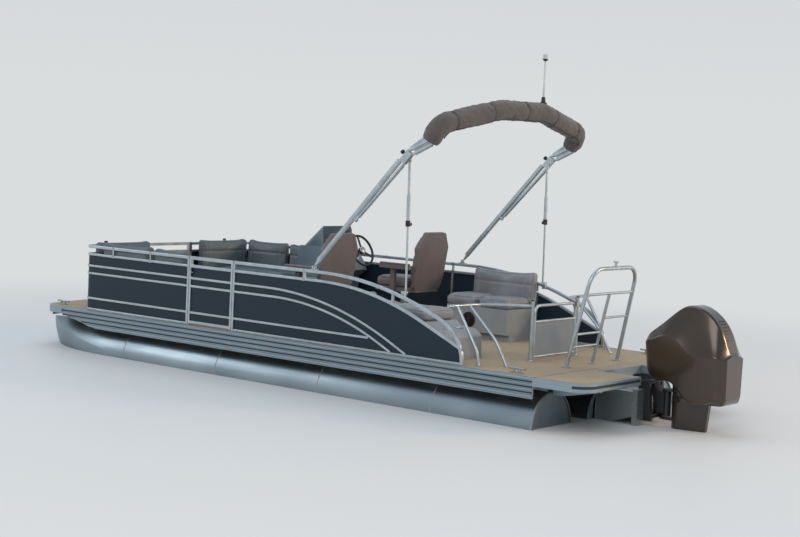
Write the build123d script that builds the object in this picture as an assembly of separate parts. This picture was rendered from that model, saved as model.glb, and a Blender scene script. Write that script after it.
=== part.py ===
from build123d import *
import math
import os

# Pontoon boat, afloat. +X is the bow, +Y is port, +Z is up, and the origin is on the
# waterline, on the centreline, at the middle of the deck and swim platform. Millimetres.

# Driving dimensions of the hull and deck
DECK_TOP = 470
DECK_THICK = 30
DECK_HALF = 1270
DECK_AFT = -3160
DECK_CORNER = 3470
DECK_BOW = 3660
DECK_CORNER_RADIUS = 260
PLATFORM_AFT = -3700
PLATFORM_THICK = 75
NOTCH_FRONT = -3285
NOTCH_HALF = 360
TUBE_RADIUS = 317.5
TUBE_Y = 930
TUBE_AFT = -3150
NOSE_START = 2490
BOW_EYE = (3602, 60)
BOW_EYE_RADIUS = 12
MEMBER_HEIGHT = 75
MEMBER_WIDTH = 50
SKIRT_THICK = 13
SKIRT_BOTTOM = 280
RUB_WIDTH = 25

# Driving dimensions of the fence
FENCE_Y = 1215
FENCE_BOW = 2870
FENCE_CORNER_RADIUS = 100
BOW_SPLIT = 2740
TOP_RAIL_Z = 1170
MID_RAIL_Z = 1085
BOTTOM_RAIL_Z = 483
RAIL = 32
SMALL_RAIL = 26
PANEL_THICK = 5
PANEL_IN = 1216
TRIM_PROUD = 10
TRIM_HEIGHT = 22
SIDE_GATE = (583, 1217)
GATE_GAP = 6
BOW_GATE_HALF = 350
STERN_GATE_X = -2520
STERN_GATE_HALF = 350
STERN_RAIL_Z = 990

# Bimini, folded in its boot, leaning aft on two rear struts
BIMINI_PIVOT = (-500, 1212)
BIMINI_LEAN = 47.2
BIMINI_HALF = 1215
BIMINI_TUBE = 16
BOOT_START = (1835, 110)
BOOT_LEAN = 60
BOOT_RADIUS = 100
STRUT_Y = 1152
STRUT_FOOT = (-1600, 1062)
STRUT_TOP = (-1576, 2300)

# Outboard motor
TILT_AXIS = (-3630, 385)
STEER_X = -3775
PROP_Z = -505

nodes = {}


def box(x, y, z):
    """A box between two limits on each axis."""
    size = (x[1] - x[0], y[1] - y[0], z[1] - z[0])
    middle = ((x[0] + x[1]) / 2, (y[0] + y[1]) / 2, (z[0] + z[1]) / 2)
    return Pos(*middle) * Box(*size)


def joined(shapes):
    """One solid from pieces that are welded together."""
    whole = shapes[0]
    for shape in shapes[1:]:
        whole = whole + shape
    return whole


def bent(points, bends):
    """A route of straight runs joined by arcs, with one radius for each corner."""
    if bends:
        return FilletPolyline(*points, radius=bends)
    return Polyline(*points)


def bar(points, bends, wide, tall, across):
    """A square rail along a flat route; across is the direction of its width."""
    route = bent(points, bends)
    start = Plane(origin=route @ 0, x_dir=across, z_dir=route % 0)
    return sweep(start * RectangleRounded(wide, tall, 0.2 * min(wide, tall)), path=route)


def tube(points, bends, radius):
    """A round tube along a route."""
    route = bent(points, bends)
    start = Plane(origin=route @ 0, z_dir=route % 0)
    return sweep(start * Circle(radius), path=route)


def rod(start, end, radius):
    """A round rod between two points."""
    along = Vector(*end) - Vector(*start)
    base = Plane(origin=start, z_dir=along)
    return extrude(base * Circle(radius), along.length)


def both_sides(shape):
    """The piece and its mirror image on the other side of the boat, as one node."""
    return Compound([*shape.solids(), *mirror(shape, about=Plane.XZ).solids()])


def side_plate(outline, y, thick):
    """A plate from an outline of (x, z) points, thick along Y from y."""
    face = make_face(Polyline(*[(x, y, z) for x, z in outline], close=True))
    return extrude(face, thick, dir=(0, 1, 0))


# Pontoon tubes, with nose cones, keels and the risers that carry the deck frame
def nose_ring(x_top, x_low, z_top, z_low, half, z_chine, full_up, full_low):
    """A ring of the nose cone: two arcs above its chine and two below, raked."""
    rise = Vector(x_top - x_low, 0, z_top - z_low)
    plane = Plane(origin=(x_low, 0, z_low), x_dir=(0, 1, 0), z_dir=Vector(0, 1, 0).cross(rise))
    height = rise.length
    chine = height * (z_chine - z_low) / (z_top - z_low)
    edges = []
    corners = [(0, height), (half, chine), (0, 0), (-half, chine), (0, height)]
    for index, fullness in enumerate([full_up, full_low, full_low, full_up]):
        a, b = corners[index], corners[index + 1]
        middle = (
            (a[0] + b[0]) / 2 - fullness * (b[1] - a[1]),
            (a[1] + b[1]) / 2 + fullness * (b[0] - a[0]),
        )
        edges.append(ThreePointArc(a, middle, b))
    return plane * make_face(edges)


# x_top, x_low, z_top, z_low, half width, chine height, fullness above and below the chine
NOSE_RINGS = [
    (2488, 2488, 317, -317, 309.2, 70, 0.1752, 0.2404),
    (2950, 2890, 317.5, -305, 268, 128, 0.14, 0.23),
    (3360, 3210, 314, -262, 162, 200, 0.09, 0.19),
    (3700, 3470, 300, -170, 12, 268, 0.04, 0.08),
]


def pontoon(y):
    length = NOSE_START - TUBE_AFT
    barrel = Pos((NOSE_START + TUBE_AFT) / 2, 0, 0) * Rot(0, 90, 0) * Cylinder(TUBE_RADIUS, length)
    nose = loft([nose_ring(*ring) for ring in NOSE_RINGS])
    riser = box((-3120, 2480), (-45, 45), (290, DECK_TOP - DECK_THICK - MEMBER_HEIGHT))
    keel = box((-3050, 2700), (-7, 7), (-340, -305))
    x, z = BOW_EYE
    lug = [(x - 90, z - 45), (x + 10, z - 30), (x + 30, z + 5), (x + 15, z + 32), (x - 70, z + 45)]
    eye = side_plate(lug, -7, 14)
    hole = Pos(x, 0, z) * Rot(90, 0, 0) * Cylinder(BOW_EYE_RADIUS, 30)
    dish = Pos(TUBE_AFT, 0, 0) * Rot(0, 90, 0) * Cylinder(TUBE_RADIUS - 14, 24)
    whole = joined([barrel, nose, riser, keel, eye]) - hole - dish
    return Pos(0, y, 0) * whole


nodes["pontoon_port"] = pontoon(TUBE_Y)
nodes["pontoon_centre"] = pontoon(0)
nodes["pontoon_starboard"] = pontoon(-TUBE_Y)

# Deck frame and deck
FRAME_TOP = DECK_TOP - DECK_THICK
FRAME_LOW = FRAME_TOP - MEMBER_HEIGHT


def cross_member(x):
    channel = box((x, x + MEMBER_WIDTH), (-1262, 1262), (FRAME_LOW, FRAME_TOP))
    hollow = box((x + 5, x + MEMBER_WIDTH), (-1262, 1262), (FRAME_LOW + 5, FRAME_TOP - 5))
    return channel - hollow


MEMBER_STEP = 406
MEMBER_XS = [-3130 + MEMBER_STEP * index for index in range(17)]


def deck_face(grow):
    """The deck's outline seen from above, square aft and rounded at the bow."""
    half = DECK_HALF + grow
    aft = Polyline((DECK_CORNER, -half), (DECK_AFT, -half), (DECK_AFT, half), (DECK_CORNER, half))
    bow = ThreePointArc((DECK_CORNER, half), (DECK_BOW + grow, 0), (DECK_CORNER, -half))
    face = make_face([*aft.edges(), bow])
    corners = [v for v in face.vertices() if v.X > 0]
    return fillet(corners, DECK_CORNER_RADIUS + grow)


nodes["deck"] = Pos(0, 0, FRAME_TOP) * extrude(deck_face(0), DECK_THICK)
under_deck = Pos(0, 0, FRAME_LOW) * extrude(deck_face(-12), MEMBER_HEIGHT)
nodes["cross_members"] = Compound([(cross_member(x) & under_deck).solids()[0] for x in MEMBER_XS])

# Ribbed side skirts that hide the deck frame, cut back at the bow
RIBS = [(456, 24), (408, 24), (360, 24), (305, 34)]
SKIRT_FORE = 3160
SKIRT_RISE = 2600
SKIRT_FORE_LOW = 392


def skirt():
    plate = box((DECK_AFT, SKIRT_FORE), (DECK_HALF, DECK_HALF + SKIRT_THICK), (SKIRT_BOTTOM, DECK_TOP))
    pieces = [plate]
    y = DECK_HALF + SKIRT_THICK
    for z, tall in RIBS:
        rib = [(y - 1, z - tall / 2), (y + 12, z - tall / 4), (y + 12, z + tall / 4), (y - 1, z + tall / 2)]
        face = make_face(Polyline(*[(DECK_AFT, *point) for point in rib], close=True))
        pieces.append(extrude(face, SKIRT_FORE - DECK_AFT, dir=(1, 0, 0)))
    low = SKIRT_BOTTOM - 1
    fore = SKIRT_FORE + 1
    return joined(pieces) - side_plate([(SKIRT_RISE, low), (fore, low), (fore, SKIRT_FORE_LOW)], 1200, 150)


nodes["deck_skirts"] = both_sides(skirt())

bow_band = extrude(deck_face(RUB_WIDTH), PLATFORM_THICK) - extrude(deck_face(0), PLATFORM_THICK)
bow_band = bow_band & box((SKIRT_FORE, 4000), (-2000, 2000), (-1, PLATFORM_THICK + 1))
nodes["bow_trim"] = Pos(0, 0, DECK_TOP - PLATFORM_THICK) * bow_band

# Swim platform with its motor notch, bearers and edge
PLATFORM_LOW = DECK_TOP - PLATFORM_THICK
BEARER_YS = [-TUBE_Y, -520, 520, TUBE_Y]


def platform():
    outer = Polyline(
        (DECK_AFT, -1295), (PLATFORM_AFT, -1295), (PLATFORM_AFT, 1295), (DECK_AFT, 1295), close=True
    )
    face = make_face(outer)
    face = fillet([v for v in face.vertices() if v.X < DECK_AFT - 1], 190)
    notch = Pos((NOTCH_FRONT - 3900) / 2, 0) * Rectangle(NOTCH_FRONT + 3900, 2 * NOTCH_HALF)
    face = face - notch
    slab = Pos(0, 0, PLATFORM_LOW) * extrude(face, PLATFORM_THICK)
    pieces = [slab]
    top = PLATFORM_LOW + 1
    bearer = [(DECK_AFT, top), (DECK_AFT, 290), (-3260, 290), (-3640, 370), (-3640, top)]
    for y in BEARER_YS:
        pieces.append(side_plate(bearer, y - 25, 50))
    return joined(pieces)


nodes["swim_platform"] = platform()

# Motor pod and transom behind the centre tube
def motor_pod():
    hull = side_plate([(TUBE_AFT, 300), (-3560, 300), (-3560, -80), (TUBE_AFT, -250)], -215, 430)
    keel_cut = side_plate([(TUBE_AFT, -251), (-3561, -251), (-3561, 80), (TUBE_AFT, -60)], -400, 800)
    vee = Pos(0, 0, -250) * extrude(
        Plane.YZ.offset(-3600) * make_face(Polyline((-215, 200), (0, -20), (215, 200), close=True)), 500
    )
    riser = box((NOTCH_FRONT + 5, DECK_AFT), (-215, 215), (290, PLATFORM_LOW))
    transom = box((-3610, -3560), (-250, 250), (-40, 330))
    return joined([(hull - keel_cut) + (hull & vee), riser, transom])


nodes["motor_pod"] = motor_pod()

# Fence: rails, posts, panels and trims
FENCE_FOOT = -2334
TOP_RAIL_ROUTE = [(-1363, TOP_RAIL_Z), (FENCE_FOOT, 742), (FENCE_FOOT, DECK_TOP)]
TOP_RAIL_BENDS = [3670, 400]
MID_RAIL_ROUTE = [(-1240, MID_RAIL_Z), (FENCE_FOOT, 613)]
MID_RAIL_BENDS = [3200]
# Each trim sweeps down to the deck: x of its corner, height, radius of its bend, x and z of its end
TRIMS = [(-740, 960, 3680, -1690, 496), (-720, 877, 3250, -1505, 496)]
LOW_TRIM_Z = 603
LOW_TRIM_AFT = -1230


def in_fence(points, y=FENCE_Y):
    """Points (x, z) placed in the plane of the port fence."""
    return [(x, y, z) for x, z in points]


def fence_bar(points, bends, size=RAIL, wide=RAIL, y=FENCE_Y):
    return bar(in_fence(points, y), bends, wide, size, (0, 1, 0))


def trim_bar(points, bends):
    y = PANEL_IN + PANEL_THICK + TRIM_PROUD / 2
    return bar(in_fence(points, y), bends, TRIM_PROUD, TRIM_HEIGHT, (0, 1, 0))


def post(x, low=BOTTOM_RAIL_Z, high=MID_RAIL_Z):
    y = (FENCE_Y - RAIL / 2, PANEL_IN)
    return box((x - SMALL_RAIL / 2, x + SMALL_RAIL / 2), y, (low, high))


def spacer(x, low=MID_RAIL_Z, high=TOP_RAIL_Z):
    half = 11
    return box((x - 9, x + 9), (FENCE_Y - half, FENCE_Y + half), (low, high))


def end_post(x):
    half = RAIL / 2
    return box((x - 12.5, x + 12.5), (FENCE_Y - half, FENCE_Y + half), (DECK_TOP, TOP_RAIL_Z))


def side_rails(fore, aft, spacers, posts, ends):
    """Straight fence between two x limits: top, middle and bottom rails with their posts."""
    pieces = [
        fence_bar([(fore, TOP_RAIL_Z), (aft, TOP_RAIL_Z)], []),
        fence_bar([(fore, MID_RAIL_Z), (aft, MID_RAIL_Z)], [], SMALL_RAIL),
        fence_bar([(fore, BOTTOM_RAIL_Z), (aft, BOTTOM_RAIL_Z)], [], SMALL_RAIL),
    ]
    for _, z, _, _, _ in TRIMS:
        pieces.append(trim_bar([(fore, z), (aft, z)], []))
    pieces.append(trim_bar([(fore, LOW_TRIM_Z), (aft, LOW_TRIM_Z)], []))
    pieces += [spacer(x) for x in spacers]
    pieces += [post(x) for x in posts]
    pieces += [end_post(x) for x in ends]
    return joined(pieces)


def swoop_rails(fore, posts, ends):
    """The after fence, whose rails sweep down to the deck in one long curve."""
    pieces = [
        fence_bar([(fore, TOP_RAIL_Z), *TOP_RAIL_ROUTE], TOP_RAIL_BENDS),
        fence_bar([(fore, MID_RAIL_Z), *MID_RAIL_ROUTE], MID_RAIL_BENDS, SMALL_RAIL),
        fence_bar([(fore, BOTTOM_RAIL_Z), (FENCE_FOOT, BOTTOM_RAIL_Z)], [], SMALL_RAIL),
    ]
    for corner, z, bend, end, end_z in TRIMS:
        pieces.append(trim_bar([(fore, z), (corner, z), (end, end_z)], [bend]))
    pieces.append(trim_bar([(fore, LOW_TRIM_Z), (LOW_TRIM_AFT, LOW_TRIM_Z)], []))
    pieces.append(spacer(-380))
    pieces.append(spacer(-1500, 975, 1055))
    for x, high in posts:
        pieces.append(post(x, high=high))
    pieces += [end_post(x) for x in ends]
    return joined(pieces)


AFT_POSTS = [(-380, MID_RAIL_Z), (-1000, 1055), (-1500, 955), (-2000, 745)]
GATE_AFT = SIDE_GATE[0] - 15.5
GATE_FORE = SIDE_GATE[1] + 15.5
fore_rails = side_rails(BOW_SPLIT, GATE_FORE + 12.5, [2410, 1820], [2410, 1820], [GATE_FORE])
nodes["fence_port_fore"] = fore_rails
aft_rails = swoop_rails(GATE_AFT + 12.5, AFT_POSTS, [GATE_AFT])
star_fore = side_rails(BOW_SPLIT, GATE_AFT, [2410, 1820, 1220], [2410, 1820, 1220], [])
star_aft = swoop_rails(GATE_AFT, AFT_POSTS, [])
nodes["fence_starboard"] = mirror(star_fore + star_aft, about=Plane.XZ)


def panel_between(fore, aft):
    return box((aft, fore), (PANEL_IN, PANEL_IN + PANEL_THICK), (BOTTOM_RAIL_Z, MID_RAIL_Z))


def swoop_panel(fore):
    y = PANEL_IN
    top = bent(in_fence([(fore, MID_RAIL_Z), *MID_RAIL_ROUTE], y), MID_RAIL_BENDS)
    rest = Polyline(
        (FENCE_FOOT, y, MID_RAIL_ROUTE[-1][1]),
        (FENCE_FOOT, y, BOTTOM_RAIL_Z),
        (fore, y, BOTTOM_RAIL_Z),
        (fore, y, MID_RAIL_Z),
    )
    face = make_face([*top.edges(), *rest.edges()])
    return extrude(face, PANEL_THICK, dir=(0, 1, 0))


panel_fore = panel_between(BOW_SPLIT, GATE_FORE) - fore_rails
panel_aft = (swoop_panel(GATE_AFT) - aft_rails).solids().sort_by(SortBy.VOLUME)[-1]
nodes["panels_port"] = Compound([*panel_fore.solids(), *panel_aft.solids()])
star_panel = (panel_between(BOW_SPLIT, GATE_AFT) + swoop_panel(GATE_AFT)) - (star_fore + star_aft)
nodes["panels_starboard"] = mirror(star_panel, about=Plane.XZ)

# Bow fence: each half turns the corner and ends at the gate
BOW_POST_Y = BOW_GATE_HALF + GATE_GAP + 12.5


def bow_route(y_side, x_front, z):
    return [(BOW_SPLIT, y_side, z), (x_front, y_side, z), (x_front, BOW_POST_Y, z)]


def bow_bar(z, size, wide, inset=0, bend=FENCE_CORNER_RADIUS):
    points = bow_route(FENCE_Y + inset, FENCE_BOW + inset, z)
    return bar(points, [bend + inset], size, wide, (0, 0, 1))


def bow_rails():
    trim_out = PANEL_IN + PANEL_THICK + TRIM_PROUD / 2 - FENCE_Y
    pieces = [
        bow_bar(TOP_RAIL_Z, RAIL, RAIL),
        bow_bar(MID_RAIL_Z, SMALL_RAIL, RAIL),
        bow_bar(BOTTOM_RAIL_Z, SMALL_RAIL, RAIL),
    ]
    for z in (TRIMS[0][1], TRIMS[1][1], LOW_TRIM_Z):
        pieces.append(bow_bar(z, TRIM_HEIGHT, TRIM_PROUD, trim_out))
    half = RAIL / 2
    x = (FENCE_BOW - half, FENCE_BOW + half)
    pieces.append(box(x, (BOW_POST_Y - 12.5, BOW_POST_Y + 12.5), (DECK_TOP, TOP_RAIL_Z)))
    pieces.append(box((FENCE_BOW - half, FENCE_BOW + 1), (787, 813), (BOTTOM_RAIL_Z, MID_RAIL_Z)))
    pieces.append(box((FENCE_BOW - 11, FENCE_BOW + 11), (791, 809), (MID_RAIL_Z, TOP_RAIL_Z)))
    return joined(pieces)


def bow_panel():
    middle = PANEL_IN + PANEL_THICK / 2 - FENCE_Y
    z = (BOTTOM_RAIL_Z + MID_RAIL_Z) / 2
    return bow_bar(z, MID_RAIL_Z - BOTTOM_RAIL_Z, PANEL_THICK, middle)


bow_half = bow_rails()
nodes["panels_bow"] = both_sides(bow_panel() - bow_half)


# Gates: a frame of square tube with a panel and the fence's trims carried across
def gate_frame(width):
    """A gate in its own plane: x from 0 to width, outer face towards +Y."""
    half = RAIL / 2
    stile = 25
    pieces = [
        box((0, stile), (-half, half), (DECK_TOP + 12, TOP_RAIL_Z + half)),
        box((width - stile, width), (-half, half), (DECK_TOP + 12, TOP_RAIL_Z + half)),
        box((0, width), (-half, half), (TOP_RAIL_Z - half, TOP_RAIL_Z + half)),
        box((0, width), (-half, half), (MID_RAIL_Z - 13, MID_RAIL_Z + 13)),
        box((0, width), (-half, half), (BOTTOM_RAIL_Z + 7, BOTTOM_RAIL_Z + 33)),
    ]
    for z in (TRIMS[0][1], TRIMS[1][1], LOW_TRIM_Z):
        pieces.append(box((0, width), (6, half), (z - 11, z + 11)))
    return joined(pieces)


def gate_panel(width):
    return box((25, width - 25), (1, 6), (BOTTOM_RAIL_Z + 33, MID_RAIL_Z - 13))


HINGE_HEIGHTS = [560, 1010]
HINGE_TALL = 38


def gate_hinges(on_gate):
    """One half of each hinge: a knuckle and its leaf, on the gate or on the fence post beside it."""
    pieces = []
    for z in HINGE_HEIGHTS:
        low = z if on_gate else z - HINGE_TALL - 1
        reach = (-3, 26) if on_gate else (-28, -3)
        pieces.append(rod((-3, -RAIL / 2 - 8, low), (-3, -RAIL / 2 - 8, low + HINGE_TALL), 7.5))
        pieces.append(box(reach, (-RAIL / 2 - 4, -RAIL / 2 + 1), (low, low + HINGE_TALL)))
    return joined(pieces)


side_width = SIDE_GATE[1] - SIDE_GATE[0] - 6
side_place = Pos(SIDE_GATE[0] + 3, FENCE_Y, 0)
nodes["fence_port_aft"] = aft_rails + side_place * gate_hinges(False)
nodes["side_gate_frame"] = side_place * (gate_frame(side_width) + gate_hinges(True))
nodes["side_gate_panel"] = side_place * gate_panel(side_width)
bow_place = Pos(FENCE_BOW, BOW_GATE_HALF, 0) * Rot(0, 0, -90)
nodes["bow_gate_frame"] = bow_place * (gate_frame(2 * BOW_GATE_HALF) + gate_hinges(True))
nodes["bow_gate_panel"] = bow_place * gate_panel(2 * BOW_GATE_HALF)
hinged_half = bow_half + bow_place * gate_hinges(False)
nodes["fence_bow"] = Compound([*hinged_half.solids(), *mirror(bow_half, about=Plane.XZ).solids()])

# Stern rails: two hoops each side, a rail to the gate post
STERN_POST_Y = STERN_GATE_HALF + 40


def stern_rails():
    outer = [(-2440, 1100, DECK_TOP), (-2410, 1100, 610), (-2172, 1100, STERN_RAIL_Z)]
    inner = [(-2610, 900, DECK_TOP), (-2480, 900, 690), (-2160, 900, STERN_RAIL_Z)]
    gate_post = (STERN_GATE_X, STERN_POST_Y)
    rail = [(-2145, 1125, STERN_RAIL_Z), (-2180, 740, STERN_RAIL_Z), (*gate_post, STERN_RAIL_Z)]
    pieces = [
        tube(outer, [300], 14),
        tube(inner, [400], 14),
        tube(rail, [260], 16),
        rod((*gate_post, DECK_TOP), (*gate_post, STERN_RAIL_Z + 50), 16),
        rod((-2145, 1112, STERN_RAIL_Z), (-2145, FENCE_Y - 10, STERN_RAIL_Z), 14),
    ]
    return joined(pieces)


below_deck = box((-2800, -2000), (-1400, 1400), (DECK_TOP - 60, DECK_TOP))
STERN_HINGE = (STERN_GATE_X + 16, STERN_GATE_HALF + 20)
STERN_HINGE_HEIGHTS = [600, 900]


def stern_hinges(side_y, low):
    """Knuckles on the stern gate's axis, each with a stub to the tube at side_y."""
    x, y = STERN_HINGE
    pieces = []
    for z in STERN_HINGE_HEIGHTS:
        pieces.append(rod((x, y, z + low), (x, y, z + low + 24), 7))
        pieces.append(rod((x, y, z + low + 12), (STERN_GATE_X, side_y, z + low + 12), 5))
    return pieces


def stern_gate():
    y = STERN_GATE_HALF
    x = STERN_GATE_X
    low = DECK_TOP + 25
    frame = [(x, y, low), (x, y, STERN_RAIL_Z), (x, -y, STERN_RAIL_Z), (x, -y, low)]
    pieces = [
        tube(frame, [70, 70], 14),
        rod((x, y, low + 14), (x, -y, low + 14), 14),
        rod((x, y, 840), (x, -y, 840), 12),
        *stern_hinges(y, 1),
    ]
    return joined(pieces)


nodes["stern_gate_frame"] = stern_gate()
port_stern = joined([stern_rails() - below_deck, *stern_hinges(STERN_POST_Y, -25)])
star_stern = mirror(stern_rails() - below_deck, about=Plane.XZ)
nodes["stern_rails"] = Compound([*port_stern.solids(), *star_stern.solids()])
stern_fill = box((STERN_GATE_X - 6, STERN_GATE_X + 6), (-345, 345), (DECK_TOP + 30, 836))
nodes["stern_gate_panel"] = stern_fill - nodes["stern_gate_frame"]

# Tow bar over the stern
TOW_FOOT = (-2960, 450)
TOW_TOP = (-3160, 400)
TOW_TOP_Z = 1390
TOW_UPPER_BAR = 1150
TOW_STARBOARD_BAR = 915
TOW_PORT_BARS = [660, 780]


def tow_bar():
    """An arched bar with a tow knob, a post at its middle and cross bars."""
    lean = (TOW_TOP[0] - TOW_FOOT[0]) / (TOW_TOP_Z - DECK_TOP)
    narrow = (TOW_TOP[1] - TOW_FOOT[1]) / (TOW_TOP_Z - DECK_TOP)

    def on_leg(z, side):
        rise = z - DECK_TOP
        return (TOW_FOOT[0] + lean * rise, side * (TOW_FOOT[1] + narrow * rise), z)

    def on_post(z):
        return (TOW_FOOT[0] + lean * (z - DECK_TOP), 0, z)

    top_knob = (TOW_TOP[0], 0, TOW_TOP_Z)
    route = [on_leg(DECK_TOP, 1), on_leg(TOW_TOP_Z, 1), on_leg(TOW_TOP_Z, -1), on_leg(DECK_TOP, -1)]
    pieces = [
        tube(route, [170, 170], 19),
        rod(on_leg(TOW_UPPER_BAR, 1), on_leg(TOW_UPPER_BAR, -1), 13),
        rod(on_post(DECK_TOP), on_post(TOW_UPPER_BAR), 15),
        rod(on_leg(TOW_STARBOARD_BAR, -1), on_post(TOW_STARBOARD_BAR), 11),
        rod(top_knob, (TOW_TOP[0], 0, TOW_TOP_Z + 55), 12),
        Pos(TOW_TOP[0], 0, TOW_TOP_Z + 58) * Cylinder(26, 12),
        Pos(TOW_FOOT[0], 0, DECK_TOP + 5) * Cylinder(38, 10),
    ]
    for z in TOW_PORT_BARS:
        pieces.append(rod(on_leg(z, 1), on_post(z), 11))
    for side in (-1, 1):
        pieces.append(Pos(TOW_FOOT[0], side * TOW_FOOT[1], DECK_TOP + 5) * Cylinder(45, 10))
    return joined(pieces)


tow_feet_cut = box((-3100, -2800), (-600, 600), (DECK_TOP - 60, DECK_TOP))
nodes["tow_bar"] = tow_bar() - tow_feet_cut


# Lounges: moulded bases with a toe recess, and seat and back cushions
def rounded_box(x, y, z, radius):
    block = box(x, y, z)
    return fillet(block.edges().filter_by(Axis.Z), radius)


def softened(cushion, radius):
    """A cushion with its upper edges rounded."""
    return fillet(cushion.edges().group_by(Axis.Z)[-1], radius)


def plan_block(outline, radius, z):
    """A block from an outline of (x, y) points seen from above, its corners rounded."""
    face = fillet(make_face(Polyline(*outline, close=True)).vertices(), radius)
    return Pos(0, 0, z[0]) * extrude(face, z[1] - z[0])


SEAT_LOW = 800
SEAT_TOP = 905
WALL_Y = 1190
BACK_LOW = 125
BACK_HIGH = 90
GAP = 6
# The bow lounges are L-shaped: their fore end reaches in towards the bow gate
BOW_LOUNGE_FORE = 2800
BOW_CORNER_AFT = 2400
BOW_INNER = 510
BOW_REACH = 380
BOW_BACK_TOP = 1245
TOE_DEEP = 50
TOE_Z = (DECK_TOP - 1, DECK_TOP + 70)


def wall_back(aft, fore, top):
    """A back cushion along the fence, thinner towards its top."""
    section = [
        (aft, WALL_Y, SEAT_LOW), (aft, WALL_Y, top),
        (aft, WALL_Y - BACK_HIGH, top), (aft, WALL_Y - BACK_LOW, SEAT_LOW),
    ]
    return softened(extrude(make_face(Polyline(*section, close=True)), fore - aft, dir=(1, 0, 0)), 28)


def seat(aft, fore, inner):
    outline = [(aft, inner), (fore, inner), (fore, WALL_Y - BACK_LOW - 4), (aft, WALL_Y - BACK_LOW - 4)]
    return softened(plan_block(outline, 40, (SEAT_LOW, SEAT_TOP)), 30)


def bow_lounge(aft):
    """Port bow lounge: a corner seat, a long seat, backs along the fence and a back at the bow."""
    middle = (aft + BOW_CORNER_AFT) / 2
    seat_fore = BOW_LOUNGE_FORE - BACK_LOW - 4
    seat_wall = WALL_Y - BACK_LOW - 4
    corner = [
        (middle + GAP, BOW_INNER), (BOW_CORNER_AFT, BOW_INNER), (BOW_CORNER_AFT, BOW_REACH),
        (seat_fore, BOW_REACH), (seat_fore, seat_wall), (middle + GAP, seat_wall),
    ]
    front = side_plate(
        [(BOW_LOUNGE_FORE - BACK_LOW, SEAT_LOW), (BOW_LOUNGE_FORE - BACK_HIGH, BOW_BACK_TOP),
         (BOW_LOUNGE_FORE, BOW_BACK_TOP), (BOW_LOUNGE_FORE, SEAT_LOW)], BOW_REACH, WALL_Y - BOW_REACH
    )
    return [
        seat(aft, middle, BOW_INNER),
        softened(plan_block(corner, 40, (SEAT_LOW, SEAT_TOP)), 30),
        wall_back(aft, middle, BOW_BACK_TOP),
        wall_back(middle + GAP, BOW_LOUNGE_FORE - BACK_LOW - GAP, BOW_BACK_TOP),
        softened(front, 28),
    ]


def bow_base(aft):
    inner, reach, corner = BOW_INNER + 25, BOW_REACH + 25, BOW_CORNER_AFT + 25
    fore = BOW_LOUNGE_FORE - 20
    outline = [
        (aft + 20, inner), (corner, inner), (corner, reach),
        (fore, reach), (fore, WALL_Y), (aft + 20, WALL_Y),
    ]
    toe_inner, toe_reach, toe_corner = inner + TOE_DEEP, reach + TOE_DEEP, corner + TOE_DEEP
    toe = [
        (aft, inner - 200), (fore + 20, inner - 200), (fore + 20, toe_reach),
        (toe_corner, toe_reach), (toe_corner, toe_inner), (aft, toe_inner),
    ]
    return plan_block(outline, 40, (DECK_TOP, SEAT_LOW)) - plan_block(toe, 20, TOE_Z)


# The aft lounges: x where the cushions end aft, x fore, inner y, top of the back, x where the back ends aft
PORT_AFT_LOUNGE = (-1800, -560, 560, 1050, -1240)
STARBOARD_AFT_LOUNGE = (-1555, -720, 600, 1190, -1555)
STEP_END = -2100


def aft_lounge(aft, fore, inner, top, back_aft):
    middle = (aft + fore) / 2
    return [
        seat(aft, middle, inner),
        seat(middle + GAP, fore, inner),
        wall_back(back_aft, fore, top),
    ]


def aft_base(aft, fore, inner):
    base = rounded_box((aft + 20, fore - 20), (inner + 25, WALL_Y), (DECK_TOP, SEAT_LOW), 40)
    return base - box((aft, fore), (inner, inner + 25 + TOE_DEEP), TOE_Z)


def stepped_base(aft, fore, inner):
    """A base whose after end falls away in a rounded step."""
    outline = [
        (STEP_END, DECK_TOP), (STEP_END + 15, 690), (STEP_END + 90, 740), (aft - 40, 752),
        (aft + 10, SEAT_LOW), (fore - 20, SEAT_LOW), (fore - 20, DECK_TOP),
    ]
    base = side_plate(outline, inner + 25, WALL_Y - inner - 25)
    step = [edge for edge in base.edges().filter_by(Axis.Y) if edge.center().X < STEP_END + 100]
    base = fillet([edge for edge in step if edge.center().Z > 600], 40)
    base = fillet(base.edges().filter_by(Axis.Z).group_by(Axis.X)[-1], 40)
    return base - box((STEP_END + 200, fore), (inner, inner + 25 + TOE_DEEP), TOE_Z)


def starboard(shapes):
    return [mirror(shape, about=Plane.XZ) for shape in shapes]


def solids_of(shapes):
    return Compound([solid for shape in shapes for solid in shape.solids()])


BOW_LOUNGE_AFT = (1290, 1560)
nodes["bow_lounge_port"] = solids_of(bow_lounge(BOW_LOUNGE_AFT[0]))
nodes["bow_lounge_starboard"] = solids_of(starboard(bow_lounge(BOW_LOUNGE_AFT[1])))
nodes["aft_lounge_port"] = solids_of(aft_lounge(*PORT_AFT_LOUNGE))
nodes["aft_lounge_starboard"] = solids_of(starboard(aft_lounge(*STARBOARD_AFT_LOUNGE)))
port_bases = [bow_base(BOW_LOUNGE_AFT[0]), stepped_base(*PORT_AFT_LOUNGE[:3])]
star_bases = [bow_base(BOW_LOUNGE_AFT[1]), aft_base(*STARBOARD_AFT_LOUNGE[:3])]
nodes["lounge_bases"] = solids_of([*port_bases, *starboard(star_bases)])

# Helm console: a moulded housing with a leaning dash, a hood and a swept windscreen
CONSOLE_Y = (-1150, -600)
CONSOLE_SIDE = [
    (945, DECK_TOP), (905, 930), (800, 1010), (815, 1060), (955, 1245),
    (1010, 1272), (1335, 1262), (1400, 1180), (1440, DECK_TOP),
]
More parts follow.
